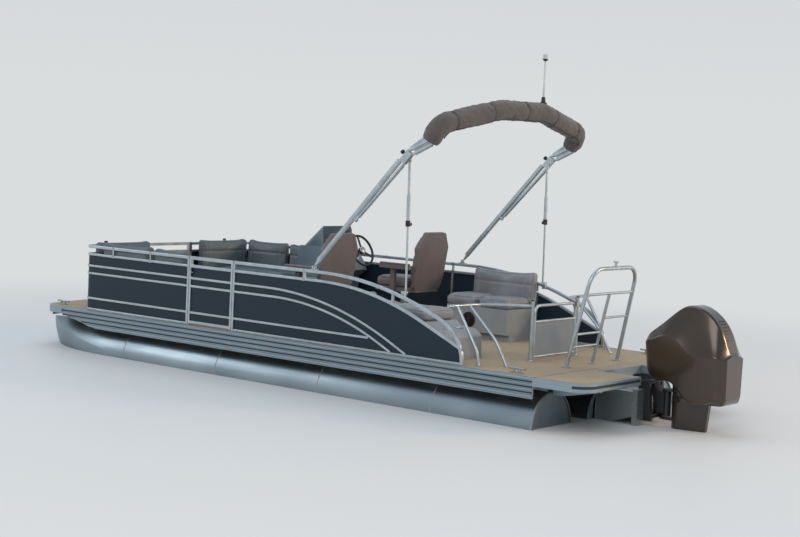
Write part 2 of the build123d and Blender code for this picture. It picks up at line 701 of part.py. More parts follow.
# Recesses of the gauges in the dash: y and radius
GAUGES = [(-1050, 34), (-960, 34), (-700, 34)]
DASH_MIDDLE = (885, 1152)
DASH_SLOPE = math.degrees(math.atan2(185, 140))
SCREEN_SIDE = [(1325, 1262), (1062, 1495), (1038, 1490), (1005, 1275)]
SCREEN_THICK = 7


def near(x, z):
    """A test for edges whose middle is at about this x and z."""
    return lambda edge: abs(edge.center().X - x) < 6 and abs(edge.center().Z - z) < 6


def helm_console():
    width = CONSOLE_Y[1] - CONSOLE_Y[0]
    body = side_plate(CONSOLE_SIDE, CONSOLE_Y[0], width)
    middle = (CONSOLE_Y[0] + CONSOLE_Y[1]) / 2
    front = [e for e in body.edges() if e.center().X > 1395 and abs(e.center().Y - middle) > 270]
    body = fillet(front, 60)
    x, z = DASH_MIDDLE
    for y, radius in GAUGES:
        body = body - Pos(x, y, z) * Rot(0, -DASH_SLOPE, 0) * Cylinder(radius, 14)
    hatch = rounded_box((1380, 1450), (middle - 165, middle + 165), (620, 1010), 20)
    return body - (hatch & box((1418, 1450), CONSOLE_Y, (500, 1100)))


def windscreen():
    """A smoked sheet with its wings, swept back over the hood; its two front corners are rounded."""
    y = CONSOLE_Y[0] + 20
    width = CONSOLE_Y[1] - CONSOLE_Y[0] - 40
    foot, head = SCREEN_SIDE[:2]
    outer = side_plate(SCREEN_SIDE, y, width)
    outer = fillet(list(filter(near((foot[0] + head[0]) / 2, (foot[1] + head[1]) / 2), outer.edges())), 60)
    run, rise = foot[0] - head[0], head[1] - foot[1]
    length = math.hypot(run, rise)
    shift = (-SCREEN_THICK * rise / length, -SCREEN_THICK * run / length)
    low = (foot[0] + shift[0] + 0.1 * run, foot[1] + shift[1] - 0.1 * rise)
    high = (head[0] + shift[0] - 0.1 * run, head[1] + shift[1] + 0.1 * rise)
    hollow = [low, high, (900, high[1]), (900, low[1])]
    inner = side_plate(hollow, y + SCREEN_THICK, width - 2 * SCREEN_THICK)
    lean = list(filter(near((low[0] + high[0]) / 2, (low[1] + high[1]) / 2), inner.edges()))
    return outer - fillet(lean, 60 - SCREEN_THICK)


nodes["helm_console"] = helm_console()
nodes["windscreen"] = windscreen() - nodes["helm_console"]

WHEEL_CENTRE = (610, -820, 1250)
WHEEL_LEAN = 25
WHEEL_RADIUS = 175
wheel_place = Pos(*WHEEL_CENTRE) * Rot(0, -90 + WHEEL_LEAN, 0)
spokes = [Rot(0, 0, 120 * k) * Pos(WHEEL_RADIUS / 2, 0, 0) * Box(WHEEL_RADIUS, 26, 8) for k in range(3)]
hub = Cylinder(38, 34)
wheel = joined([Torus(WHEEL_RADIUS, 13), hub, *spokes])
nodes["steering_wheel"] = wheel_place * wheel
COLUMN_LENGTH = 330
column = wheel_place * Pos(0, 0, -18 - COLUMN_LENGTH / 2) * Cylinder(24, COLUMN_LENGTH)
nodes["helm_column"] = (column - nodes["helm_console"]).solids().sort_by(Axis.X)[0]

# Chairs on their pedestals: the captain's to starboard, a companion's to port
CHAIRS = {"captains_chair": (-120, -700), "companion_chair": (-20, 690)}
CHAIR_LOW = DECK_TOP + 412
CHAIR_TILT = 9
# Half outlines of the shell's back and of its cushion: y out from the middle and height up the back
BACK_SHELL = [(215, 0), (250, 150), (250, 460), (165, 615)]
BACK_PAD = [(193, 22), (228, 150), (228, 460), (143, 593)]


def pedestal(x, y):
    return joined([
        Pos(x, y, DECK_TOP + 8) * Cylinder(150, 16),
        Pos(x, y, DECK_TOP + 30) * Cone(80, 45, 44),
        Pos(x, y, DECK_TOP + 200) * Cylinder(40, 400),
        Pos(x, y, DECK_TOP + 400) * Cylinder(70, 20),
    ])


def back_face(half):
    """A back seen from the front, with clipped upper corners, from its half outline."""
    outline = [*half, *[(-y, z) for y, z in reversed(half)]]
    return fillet(make_face(Polyline(*outline, close=True)).vertices(), 35)


def chair():
    """A bucket seat facing +X about its pedestal: moulded shell with arms, seat and back cushions."""
    pan = rounded_box((-250, 235), (-250, 250), (CHAIR_LOW, CHAIR_LOW + 45), 60)
    lean = Pos(-262, 0, CHAIR_LOW + 42) * Rot(0, -CHAIR_TILT, 0) * Plane.YZ.location
    shell_back = lean * extrude(back_face(BACK_SHELL), -42)
    heel = box((-300, -225), (-190, 190), (CHAIR_LOW + 2, CHAIR_LOW + 80))
    pieces = [pan, shell_back, heel]
    for side in (-1, 1):
        y = sorted((side * 262, side * 318))
        pieces.append(rounded_box((-300, 120), y, (1130, 1172), 20))
        pieces.append(box((-70, -15), sorted((side * 240, side * 280)), (CHAIR_LOW + 5, 1132)))
        pieces.append(box((-320, -280), sorted((side * 225, side * 270)), (1125, 1168)))
    cushion = rounded_box((-185, 275), (-232, 232), (CHAIR_LOW + 45, CHAIR_LOW + 140), 70)
    back_pad = lean * extrude(back_face(BACK_PAD), 78, taper=14)
    back_pad = back_pad - box((-400, 300), (-400, 400), (800, CHAIR_LOW + 45))
    return [joined(pieces), softened(cushion, 30), back_pad]


chair_solids = chair()
for name, (x, y) in CHAIRS.items():
    nodes[name] = Compound([solid for shape in chair_solids for solid in (Pos(x, y, 0) * shape).solids()])
nodes["chair_pedestal"] = solids_of([pedestal(x, y) for x, y in CHAIRS.values()])

# Bimini frame, boot, light pole and rear struts
LEAN = math.radians(BIMINI_LEAN)


def on_bow(y, s, drop=0):
    """A point of the folded bow: y across and s up the leaning plane, drop below it."""
    x = BIMINI_PIVOT[0] - s * math.cos(LEAN) - drop * math.sin(LEAN)
    z = BIMINI_PIVOT[1] + s * math.sin(LEAN) - drop * math.cos(LEAN)
    return (x, y, z)


LEG_TOP_Y = 1190
CLAMP_S = 700
BRACKET_S = 1545
LEG_BEND_S = 1600
# The boot's arch in its own plane: y out and distance up from its ends, and the radii of its bends
BOOT_CORNER = (1165, 190)
BOOT_SHOULDER = (350, 385)
BOOT_BENDS = [120, 900, 320, 120]
PIN = 6
PIN_GAP = 0.05


def leg_y(s):
    return BIMINI_HALF + (LEG_TOP_Y - BIMINI_HALF) * s / BOOT_START[0]


def on_boot(y, t):
    """A point of the boot's middle line: y across and t up its plane, which stands steeper."""
    x, _, z = on_bow(0, *BOOT_START)
    lean = math.radians(BOOT_LEAN)
    return (x - t * math.cos(lean), y, z + t * math.sin(lean))


def bimini_leg():
    """One side of the frame: a main tube, and two more that lie beside it up to the boot."""
    boot_s, boot_drop = BOOT_START
    end_s = boot_s + 30
    bend = on_bow(leg_y(LEG_BEND_S), LEG_BEND_S)
    main = tube([on_bow(BIMINI_HALF, 36), bend, on_bow(LEG_TOP_Y, end_s, boot_drop)], [220], BIMINI_TUBE)
    second_bend = on_bow(leg_y(LEG_BEND_S), LEG_BEND_S - 15, 50)
    second_end = on_bow(LEG_TOP_Y, end_s, boot_drop + 52)
    second = tube([on_bow(leg_y(CLAMP_S), CLAMP_S, 30), second_bend, second_end], [220], 12)
    third = rod(on_bow(leg_y(BRACKET_S), BRACKET_S + 20, -12), on_bow(LEG_TOP_Y, end_s, boot_drop - 50), 12)
    joint = rod(on_bow(leg_y(CLAMP_S), CLAMP_S, -22), on_bow(leg_y(CLAMP_S), CLAMP_S, 44), 17)
    lug = rod(on_bow(BIMINI_HALF, 10), on_bow(BIMINI_HALF, 40), 6.5)
    eye = Pos(*on_bow(BIMINI_HALF, 0)) * Rot(90, 0, 0) * (Cylinder(17, 14) - Cylinder(PIN + PIN_GAP, 14))
    x, y, z = on_bow(leg_y(BRACKET_S), BRACKET_S, 28)
    bracket = Pos(x, y, z) * Rot(0, -90 + BIMINI_LEAN, 0) * Box(70, 44, 130)
    knob = rod(on_bow(y, BRACKET_S, -60), on_bow(y, BRACKET_S, -20), 14)
    tip = rod((STRUT_TOP[0], STRUT_Y + 15, STRUT_TOP[1]), (STRUT_TOP[0], y, STRUT_TOP[1]), PIN)
    return joined([main, second, third, joint, lug, eye, bracket, knob, tip])


def bimini_boot():
    corner, shoulder = BOOT_CORNER, BOOT_SHOULDER
    points = [
        on_boot(LEG_TOP_Y, 0),
        on_boot(*corner),
        on_boot(*shoulder),
        on_boot(-shoulder[0], shoulder[1]),
        on_boot(-corner[0], corner[1]),
        on_boot(-LEG_TOP_Y, 0),
    ]
    return tube(points, BOOT_BENDS, BOOT_RADIUS)


nodes["bimini_boot"] = bimini_boot()
leg_outside = (bimini_leg() - nodes["bimini_boot"]).solids().sort_by(SortBy.VOLUME)[-1]
nodes["bimini_frame"] = both_sides(leg_outside)

pole_base = on_boot(-350, 385)
pole = joined([
    rod((pole_base[0], pole_base[1], pole_base[2] + 60), (pole_base[0], pole_base[1], 3360), 10),
    Pos(pole_base[0], pole_base[1], 3365) * Cylinder(26, 46),
])
nodes["light_pole"] = pole - nodes["bimini_boot"]

# Mount brackets of the bimini and of the struts, on the top rail
def bimini_mount():
    x, z = BIMINI_PIVOT
    foot = box((x - 45, x + 45), (FENCE_Y - 16, FENCE_Y + 16), (TOP_RAIL_Z + 16, z - 19))
    ears = [box((x - 14, x + 14), (y - 4, y + 4), (z - 22, z + 14)) for y in (FENCE_Y - 12, FENCE_Y + 12)]
    pin = rod((x, FENCE_Y - 20, z), (x, FENCE_Y + 20, z), PIN)
    fx, fz = STRUT_FOOT
    arm = box((fx - 20, fx + 20), (STRUT_Y + 14, FENCE_Y - RAIL / 2), (fz - 55, fz + 15))
    arm_pin = rod((fx, STRUT_Y - 14, fz), (fx, STRUT_Y + 15, fz), PIN)
    return [*joined([foot, *ears, pin]).solids(), *joined([arm, arm_pin]).solids()]


mounts = bimini_mount()
mirrored = [mirror(shape, about=Plane.XZ) for shape in mounts]
nodes["bimini_mounts"] = Compound(mounts + mirrored)

STRUT_DIR = Vector(STRUT_TOP[0] - STRUT_FOOT[0], 0, STRUT_TOP[1] - STRUT_FOOT[1])
STRUT_LENGTH = STRUT_DIR.length
STRUT_ROD = 10


def along_strut(s, y=STRUT_Y):
    unit = STRUT_DIR.normalized()
    return (STRUT_FOOT[0] + unit.X * s, y, STRUT_FOOT[1] + unit.Z * s)


def strut_rod():
    """The lower, thinner part, hinged on the fence."""
    eye = Pos(*along_strut(0)) * Rot(90, 0, 0) * Cylinder(20, 18)
    pin_hole = Pos(*along_strut(0)) * Rot(90, 0, 0) * Cylinder(PIN + PIN_GAP, 20)
    return rod(along_strut(8), along_strut(700), STRUT_ROD) + eye - pin_hole


def strut_sleeve():
    """The upper part, whose thick sleeve slides over the rod."""
    sleeve = rod(along_strut(620), along_strut(910), 18)
    upper = rod(along_strut(900), along_strut(STRUT_LENGTH - 14), 13)
    eye = Pos(*along_strut(STRUT_LENGTH)) * Rot(90, 0, 0) * Cylinder(17, 18)
    knob = rod(along_strut(640, STRUT_Y), along_strut(640, STRUT_Y - 42), 11)
    bore = rod(along_strut(619), along_strut(1206), STRUT_ROD + 0.5)
    return joined([sleeve, upper, eye, knob]) - bore


for name, make in (("strut_rod", strut_rod), ("strut_sleeve", strut_sleeve)):
    piece = make()
    nodes[name + "_port"] = piece
    nodes[name + "_starboard"] = mirror(piece, about=Plane.XZ)


# Outboard motor: clamp bracket, swivel bracket, cowl, leg, gearcase and propeller
def clamp_bracket():
    x, z = TILT_AXIS
    pieces = []
    for side in (-1, 1):
        y = sorted((side * 95, side * 130))
        hook = side_plate(
            [(-3545, 300), (-3545, z + 5), (x, z + 26), (x - 30, z), (-3690, 40), (-3610, 40), (-3610, 330),
             (-3560, 330), (-3560, 300)],
            y[0], y[1] - y[0],
        )
        pieces.append(hook)
        pieces.append(rod((-3632, side * 77, 70), (-3640, side * 77, 215), 15))
        pieces.append(rod((-3640, side * 77, 210), (-3642, side * 77, 245), 9))
    pieces.append(rod((x, -135, z), (x, 135, z), 16))
    pieces.append(rod((-3632, -97, 78), (-3632, 97, 78), 11))
    return joined(pieces)


nodes["outboard_clamp"] = clamp_bracket()


def swivel_bracket():
    x, z = TILT_AXIS
    sleeve = rod((x, -88, z), (x, 88, z), 26)
    barrel = rod((STEER_X, 0, 95), (STEER_X, 0, 318), 40)
    outline = [
        (x + 5, z - 22), (x - 10, z + 20), (-3715, 318), (STEER_X, 318), (STEER_X, 120), (-3700, 120),
    ]
    web = side_plate(outline, -55, 110)
    bore = rod((x, -90, z), (x, 90, z), 16.05)
    return joined([sleeve, barrel, web]) - bore


nodes["outboard_swivel"] = swivel_bracket()

# Half sections of the cowl: x, then y and z at its low edge, at its crease and at its top, then bend radii
COWL_SECTIONS = [
    (-3604, (105, 560), (150, 752), (110, 782), (30, 14, 12)),
    (-3645, (150, 485), (194, 785), (145, 852), (40, 20, 22)),
    (-3780, (190, 432), (228, 838), (130, 968), (40, 22, 35)),
    (-3913, (212, 420), (240, 848), (112, 1086), (40, 24, 35)),
    (-4050, (222, 300), (248, 748), (104, 1130), (40, 24, 35)),
    (-4250, (220, 276), (245, 694), (98, 1030), (40, 24, 35)),
    (-4385, (190, 280), (206, 690), (86, 800), (40, 22, 25)),
    (-4428, (140, 325), (150, 688), (60, 716), (30, 10, 9)),
]
COWL_SEAM = (520, 528)
SEAM_DEPTH = 5


def cowl_face(section, inset=0):
    x, low, crease, top, bends = section
    half = [(y - inset, z) for y, z in (low, crease, top)]
    outline = [*half, *[(-y, z) for y, z in reversed(half)]]
    radii = [*bends, *reversed(bends)]
    return Plane.YZ.offset(x) * make_face(FilletPolyline(*outline, radius=radii, close=True))


def cowl():
    """The motor's cover: a body with a crease along each side and a seam round it."""
    body = loft([cowl_face(section) for section in COWL_SECTIONS])
    core = loft([cowl_face(section, SEAM_DEPTH) for section in COWL_SECTIONS])
    band = box((-4500, -3500), (-300, 300), COWL_SEAM)
    return body - (band - core)


nodes["outboard_cowl"] = cowl()


def leg_section(x_fore, x_aft, half, z):
    """A streamlined section of the leg: rounded nose and tail at height z."""
    nose = ThreePointArc((x_fore - half, -half), (x_fore, 0), (x_fore - half, half))
    widest = x_fore - half
    tail = Polyline((widest, half), (x_aft, 0.25 * half), (x_aft, -0.25 * half), (widest, -half))
    return Pos(0, 0, z) * make_face([nose, *tail.edges()])


# Yokes that hold the leg on the swivel: middle height, thickness, radius and reach aft
YOKES = [(335, 20, 45, 90), (75, 26, 40, 110)]


def midsection():
    body = loft([leg_section(-3835, -4230, 100, 415), leg_section(-3850, -4150, 62, -285)], ruled=True)
    pan = Pos(0, 0, 255) * extrude(leg_section(-3850, -4330, 150, 0), 40)
    plate = Pos(0, 0, -290) * extrude(leg_section(-3800, -4330, 100, 0), 14)
    pieces = [body, pan, plate]
    for z, tall, radius, reach in YOKES:
        pieces.append(box((STEER_X - reach, STEER_X), (-radius, radius), (z - tall / 2, z + tall / 2)))
        pieces.append(Pos(STEER_X, 0, z) * Cylinder(radius, tall))
    return joined(pieces)


mid = midsection()
nodes["outboard_leg"] = (mid - nodes["outboard_cowl"]).solids().sort_by(SortBy.VOLUME)[-1]


INTAKE_SLOTS = 5
INTAKE_X = (-3925, -3872)


def gearcase():
    """The strut, the bullet that holds the shafts, the skeg and the water intakes."""
    upper = leg_section(-3850, -4140, 60, -290)
    lower = leg_section(-3840, -4140, 38, PROP_Z + 30)
    strut = loft([upper, lower], ruled=True)
    top = (-3860, 55)
    outline = [
        ThreePointArc((-3680, 0), (-3745, 38), top),
        Line(top, (-4050, 55)),
        ThreePointArc((-4050, 55), (-4105, 52), (-4150, 44)),
        Polyline((-4150, 44), (-4150, 0), (-3680, 0)),
    ]
    face = make_face([edge for piece in outline for edge in piece.edges()])
    bullet = Pos(0, 0, PROP_Z) * revolve(Plane.XY * face, Axis.X)
    root = PROP_Z - 30
    edge = [(-3850, root), (-3925, -690), (-3965, -760), (-4080, -775), (-4105, -700), (-4120, root)]
    skeg = side_plate(edge, -7, 14)
    case = joined([strut, bullet, skeg])
    for index in range(INTAKE_SLOTS):
        z = PROP_Z + 70 + 16 * index
        case = case - box(INTAKE_X, (33, 80), (z, z + 8)) - box(INTAKE_X, (-80, -33), (z, z + 8))
    return case - box((-4500, -3500), (-300, 300), (-290, -200))


nodes["outboard_gearcase"] = gearcase()

# Blade sections from hub to tip: radius, chord, thickness, skew round the hub and rake aft
BLADE_SECTIONS = [
    (38, 92, 15, 0, 0),
    (80, 116, 11, 4, 3),
    (120, 128, 8, 12, 8),
    (155, 108, 6, 26, 14),
    (178, 70, 4, 42, 18),
    (188, 26, 3, 54, 20),
]
PROP_PITCH = 430
BLADES = 3


def blade_section(radius, chord, thick, skew, rake):
    """A lens of two arcs at one radius, turned to the pitch of the screw there."""
    pitch = math.atan2(PROP_PITCH, 2 * math.pi * radius)
    along = Vector(math.sin(pitch), math.cos(pitch), 0)
    across = Vector(-along.Y, along.X, 0)
    middle = Vector(-rake, skew, radius)
    nose = middle + along * (chord / 2)
    tail = middle - along * (chord / 2)
    upper = ThreePointArc(nose, middle + across * (0.7 * thick), tail)
    lower = ThreePointArc(tail, middle - across * (0.3 * thick), nose)
    return make_face([upper, lower])


def propeller():
    """Three swept blades on a hub that flares at its after end."""
    outline = Polyline((48, 0), (48, 42), (-20, 48), (-38, 48), (-48, 54), (-48, 0), close=True)
    hub = revolve(make_face(outline), Axis.X)
    bore = Pos(-40, 0, 0) * Rot(0, 90, 0) * (Cylinder(38, 40) - Cylinder(16, 40))
    blade = loft([blade_section(*section) for section in BLADE_SECTIONS])
    blades = [Rot(360 / BLADES * index, 0, 0) * blade for index in range(BLADES)]
    return Pos(-4205, 0, PROP_Z) * (joined([hub, *blades]) - bore)


nodes["propeller"] = propeller()

# Mooring cleats on the deck's corners: x, y
CLEATS = [(3330, 1130), (-2900, 1160), (-2900, -1160), (3330, -1130)]


def cleat(x, y):
    """A horn cleat on two feet."""
    horns = rod((x - 95, y, DECK_TOP + 42), (x + 95, y, DECK_TOP + 42), 9)
    feet = [Pos(x + reach, y, DECK_TOP + 20) * Cylinder(11, 40) for reach in (-32, 32)]
    base = rounded_box((x - 60, x + 60), (y - 20, y + 20), (DECK_TOP, DECK_TOP + 8), 15)
    return joined([base, *feet, horns])


nodes["cleats"] = solids_of([cleat(x, y) for x, y in CLEATS])

os.makedirs("parts", exist_ok=True)
for name, shape in nodes.items():
    export_step(shape, f"parts/{name}.step")
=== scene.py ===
import math

import bmesh
import bpy
import numpy as np
from mathutils import Matrix, Vector, noise
from mathutils.bvhtree import BVHTree


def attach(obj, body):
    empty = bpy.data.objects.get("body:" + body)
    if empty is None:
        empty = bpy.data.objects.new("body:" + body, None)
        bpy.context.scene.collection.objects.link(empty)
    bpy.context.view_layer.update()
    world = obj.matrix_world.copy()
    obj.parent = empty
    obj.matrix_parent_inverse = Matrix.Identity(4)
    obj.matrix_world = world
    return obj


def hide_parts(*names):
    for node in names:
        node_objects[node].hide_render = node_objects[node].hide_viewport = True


# Looks of a pontoon boat: +X to the bow, +Y to port, z 0 at the waterline.
# Places and sizes are in metres, but profiles, the radii of turned and swept forms, eased edges, the
# measures of plates and strips, the spacings of set_out and the radii of spots are in mm.
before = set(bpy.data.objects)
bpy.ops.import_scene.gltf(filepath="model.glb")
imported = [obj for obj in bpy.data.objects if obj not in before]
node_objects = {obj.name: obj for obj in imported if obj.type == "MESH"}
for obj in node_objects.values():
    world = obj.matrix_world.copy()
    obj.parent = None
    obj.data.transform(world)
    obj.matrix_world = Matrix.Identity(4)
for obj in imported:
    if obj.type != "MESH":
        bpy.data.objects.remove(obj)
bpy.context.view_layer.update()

MM = 0.001
ORIGIN = Vector((0, 0, 0))
FORE, AFT = Vector((1, 0, 0)), Vector((-1, 0, 0))
PORT, STARBOARD = Vector((0, 1, 0)), Vector((0, -1, 0))
UPWARDS = Vector((0, 0, 1))

# Camera: where the photograph was taken from, in the boat's own frame
CAMERA_AT = (-10.84, 12.85, 2.40)
CAMERA_TURNS = (-51.45, -4.27, 2.71)  # heading, tilt and roll
CAMERA_LENS = 72.1

# Studio: a pale floor at the waterline, a pale surround and soft boxes
FLOOR_HALF = 140
FLOOR_FADE = (4, 12)  # how far out the floor passes into the horizon
SKY_FADE = (0.03, 0.75)  # height of sight over which the horizon passes into the zenith
FLOOR_PAINT = "#e4e2df"
HORIZON = "#dfe2e3"
ZENITH = "#9fb2c4"
SURROUND_LIGHT = 0.95
# name, place, size across and along, power in watts, colour, point that it faces
SOFT_BOXES = [
    ("key", (-8, 12, 10), (8, 8), 620, "#fff8f0", (0, 0, 0.5)),
    ("sky", (1, 0, 14), (16, 9), 560, "#eef4fa", (0, 0, 0)),
    ("low_sun", (-14, -9, 5.5), (3, 3), 900, "#ffdcb4", (-1.5, 0, 0.8)),
    ("bow_fill", (11, 8, 6), (5, 5), 260, "#f2f6fa", (1, 0, 0.5)),
]


def add(tree, kind, inputs=None, **settings):
    """Adds a node with its settings, and sets or links its inputs."""
    made = tree.nodes.new(kind)
    for name, value in settings.items():
        setattr(made, name, value)
    for socket, value in (inputs or {}).items():
        if isinstance(value, bpy.types.NodeSocket):
            tree.links.new(value, made.inputs[socket])
        else:
            made.inputs[socket].default_value = value
    return made


def emptied(data):
    """The node tree of a new material or world, with nothing in it."""
    data.use_nodes = True
    data.node_tree.nodes.clear()
    return data.node_tree


def linear(hex_colour):
    """A colour written as sRGB hex, as linear RGBA."""
    parts = [int(hex_colour[i:i + 2], 16) / 255 for i in (1, 3, 5)]
    return (*[p / 12.92 if p <= 0.04045 else ((p + 0.055) / 1.055) ** 2.4 for p in parts], 1.0)


def link_object(name, data):
    made = bpy.data.objects.new(name, data)
    bpy.context.scene.collection.objects.link(made)
    return made


def placed(at, *axes):
    """The matrix that carries what is made at the origin to a place, along three axes."""
    return Matrix.Translation(at) @ Matrix(axes).transposed().to_4x4()


def make_camera():
    heading, tilt, roll = (math.radians(a) for a in CAMERA_TURNS)
    forward = Vector((math.cos(heading) * math.cos(tilt), math.sin(heading) * math.cos(tilt), math.sin(tilt)))
    right = Vector((math.sin(heading), -math.cos(heading), 0))
    up = right.cross(forward)
    right, up = right * math.cos(roll) + up * math.sin(roll), up * math.cos(roll) - right * math.sin(roll)
    data = bpy.data.cameras.new("camera")
    data.lens = CAMERA_LENS
    data.sensor_width = 36
    data.clip_end = 400
    camera = link_object("camera", data)
    camera.matrix_world = placed(CAMERA_AT, right, up, -forward)
    bpy.context.scene.camera = camera


def make_floor():
    corners = [(x * FLOOR_HALF, y * FLOOR_HALF, 0) for x, y in ((-1, -1), (1, -1), (1, 1), (-1, 1))]
    mesh = bpy.data.meshes.new("floor")
    mesh.from_pydata(corners, [], [(0, 1, 2, 3)])
    link_object("floor", mesh)
    paint = bpy.data.materials.new("floor_paint")
    tree = emptied(paint)
    near = add(tree, "ShaderNodeBsdfPrincipled", {"Base Color": linear(FLOOR_PAINT), "Roughness": 0.55})
    far = add(tree, "ShaderNodeEmission", {0: linear(HORIZON), 1: SURROUND_LIGHT})
    place = add(tree, "ShaderNodeTexCoord").outputs["Object"]
    away = add(tree, "ShaderNodeVectorMath", {0: place}, operation="LENGTH").outputs["Value"]
    fade = {0: away, 1: FLOOR_FADE[0], 2: FLOOR_FADE[1]}
    share = add(tree, "ShaderNodeMapRange", fade, interpolation_type="SMOOTHSTEP")
    surface = add(tree, "ShaderNodeMixShader", {0: share.outputs[0], 1: near.outputs[0], 2: far.outputs[0]})
    add(tree, "ShaderNodeOutputMaterial", {0: surface.outputs[0]})
    mesh.materials.append(paint)


def make_light():
    world = bpy.data.worlds.new("surround")
    tree = emptied(world)
    sight = add(tree, "ShaderNodeTexCoord").outputs["Generated"]
    height = add(tree, "ShaderNodeSeparateXYZ", {0: sight}).outputs["Z"]
    share = add(tree, "ShaderNodeMapRange", {0: height, 1: SKY_FADE[0], 2: SKY_FADE[1]}).outputs[0]
    tint = add(tree, "ShaderNodeMix", {0: share, 6: linear(HORIZON), 7: linear(ZENITH)}, data_type="RGBA")
    light = add(tree, "ShaderNodeBackground", {0: tint.outputs[2], 1: SURROUND_LIGHT})
    add(tree, "ShaderNodeOutputWorld", {0: light.outputs[0]})
    bpy.context.scene.world = world
    for name, place, size, power, colour, target in SOFT_BOXES:
        data = bpy.data.lights.new(name, "AREA")
        data.shape = "RECTANGLE"
        data.size, data.size_y = size
        data.energy = power
        data.color = linear(colour)[:3]
        lamp = link_object(name, data)
        lamp.location = place
        lamp.rotation_mode = "QUATERNION"
        lamp.rotation_quaternion = (Vector(target) - Vector(place)).to_track_quat("-Z", "Y")
    bpy.context.scene.view_settings.view_transform = "Standard"


make_camera()
make_floor()
make_light()


# Shapes: each is (points, faces)
def ways_round(across, beside, count, start=0.0):
    """Even directions all the way round, from across towards beside."""
    turns = [start + math.tau * k / count for k in range(count)]
    return [across * math.cos(a) + beside * math.sin(a) for a in turns]


def axes_about(along):
    """A unit axis, and two directions across it."""
    axis = Vector(along).normalized()
    across = axis.orthogonal().normalized()
    return axis, across, axis.cross(across)


def skin(rows, sides, closed=False):
    """Faces over rows of points, each row a ring, capped at the ends unless the rows close on themselves."""
    faces = []
    for row in range(rows if closed else rows - 1):
        start, end = row * sides, (row + 1) % rows * sides
        for step in range(sides):
            after = (step + 1) % sides
            faces.append((start + step, start + after, end + after, end + step))
    if not closed:
        faces += [tuple(reversed(range(sides))), tuple(range((rows - 1) * sides, rows * sides))]
    return faces


def turned(profile, at, along=UPWARDS, sides=24):
    """A closed turned form: (radius, height) pairs up its axis, which runs from at towards along."""
    axis, across, beside = axes_about(along)
    ways = ways_round(across, beside, sides)
    points = [Vector(at) + (axis * height + way * radius) * MM for radius, height in profile for way in ways]
    return points, skin(len(profile), sides)


def swept(path, radius, closed=False, sides=8):
    """A round rod along a path; radius is one number or one for each point."""
    path = [Vector(point) for point in path]
    count = len(path)
    radii = radius if isinstance(radius, list) else [radius] * count
    points, normal = [], None
    for index, point in enumerate(path):
        before = path[index - 1] if index or closed else point
        after = path[(index + 1) % count] if index < count - 1 or closed else point
        tangent = (after - before).normalized()
        normal = tangent.orthogonal() if normal is None else normal - tangent * normal.dot(tangent)
        normal.normalize()
        ways = ways_round(normal, tangent.cross(normal), sides)
        points += [point + way * radii[index] * MM for way in ways]
    return points, skin(count, sides, closed)


def ring(at, along, radius, wire, steps, sides):
    """A round ring of wire about an axis."""
    _, across, beside = axes_about(along)
    path = [Vector(at) + way * radius * MM for way in ways_round(across, beside, steps)]
    return swept(path, wire, True, sides)


def from_bmesh(shape, place):
    if place is not None:
        bmesh.ops.transform(shape, matrix=place, verts=shape.verts)
    shape.verts.index_update()
    made = [v.co.copy() for v in shape.verts], [tuple(v.index for v in f.verts) for f in shape.faces]
    shape.free()
    return made


def block(low, high, ease=2, place=None):
    """A block between two corners, its edges eased."""
    low, high = Vector(low), Vector(high)
    shape = bmesh.new()
    bmesh.ops.create_cube(shape, size=1)
    bmesh.ops.scale(shape, vec=high - low, verts=shape.verts)
    bmesh.ops.translate(shape, vec=(low + high) / 2, verts=shape.verts)
    bmesh.ops.bevel(shape, geom=shape.edges[:], offset=min(ease * MM, 0.45 * min(high - low)), segments=2,
                    affect="EDGES")
    return from_bmesh(shape, place)


def plate(outline, thick, ease, place):
    """A plate from a flat outline, counter-clockwise in x and y, thick along z, its rims eased."""
    shape = bmesh.new()
    face = shape.faces.new([shape.verts.new((x, y, 0)) for x, y in outline])
    grown = bmesh.ops.extrude_face_region(shape, geom=[face])["geom"]
    top = [v for v in grown if isinstance(v, bmesh.types.BMVert)]
    bmesh.ops.translate(shape, vec=UPWARDS * thick * MM, verts=top)
    face.normal_flip()
    rims = [e for e in shape.edges if abs(e.verts[0].co.z - e.verts[1].co.z) < 1e-6]
    bmesh.ops.bevel(shape, geom=rims, offset=ease * MM, segments=2, affect="EDGES")
    bmesh.ops.recalc_face_normals(shape, faces=shape.faces)
    return from_bmesh(shape, place)


def strip(path, half, proud):
    """A moulded band, half its height above and below a level path of (point, way outwards)."""
    section = [(-1, -half), (proud, -0.6 * half), (proud, 0.6 * half), (-1, half)]
    points = [Vector(at) + (out * reach + UPWARDS * height) * MM
              for at, out in path for reach, height in section]
    return points, skin(len(path), len(section))


def mirrored(shape):
    points, faces = shape
    return [(p[0], -p[1], p[2]) for p in points], [tuple(reversed(face)) for face in faces]


def both(shapes):
    """The shapes and their mirror images on the other side of the boat."""
    return [*shapes, *[mirrored(shape) for shape in shapes]]


# Materials
ALONG_HULL = (0.03, 1, 1)  # the stretch of a pattern drawn out along the hull
WAVE_PACE = 20  # a wave texture of scale 1 runs on by 20 radians in a metre


def finish(name, roughness, **sockets):
    """A new material: its tree and its shader."""
    made = bpy.data.materials.new(name)
    tree = emptied(made)
    values = {socket.replace("_", " "): value for socket, value in sockets.items()}
    shader = add(tree, "ShaderNodeBsdfPrincipled", {"Roughness": roughness, **values})
    add(tree, "ShaderNodeOutputMaterial", {0: shader.outputs[0]})
    return made, tree, shader


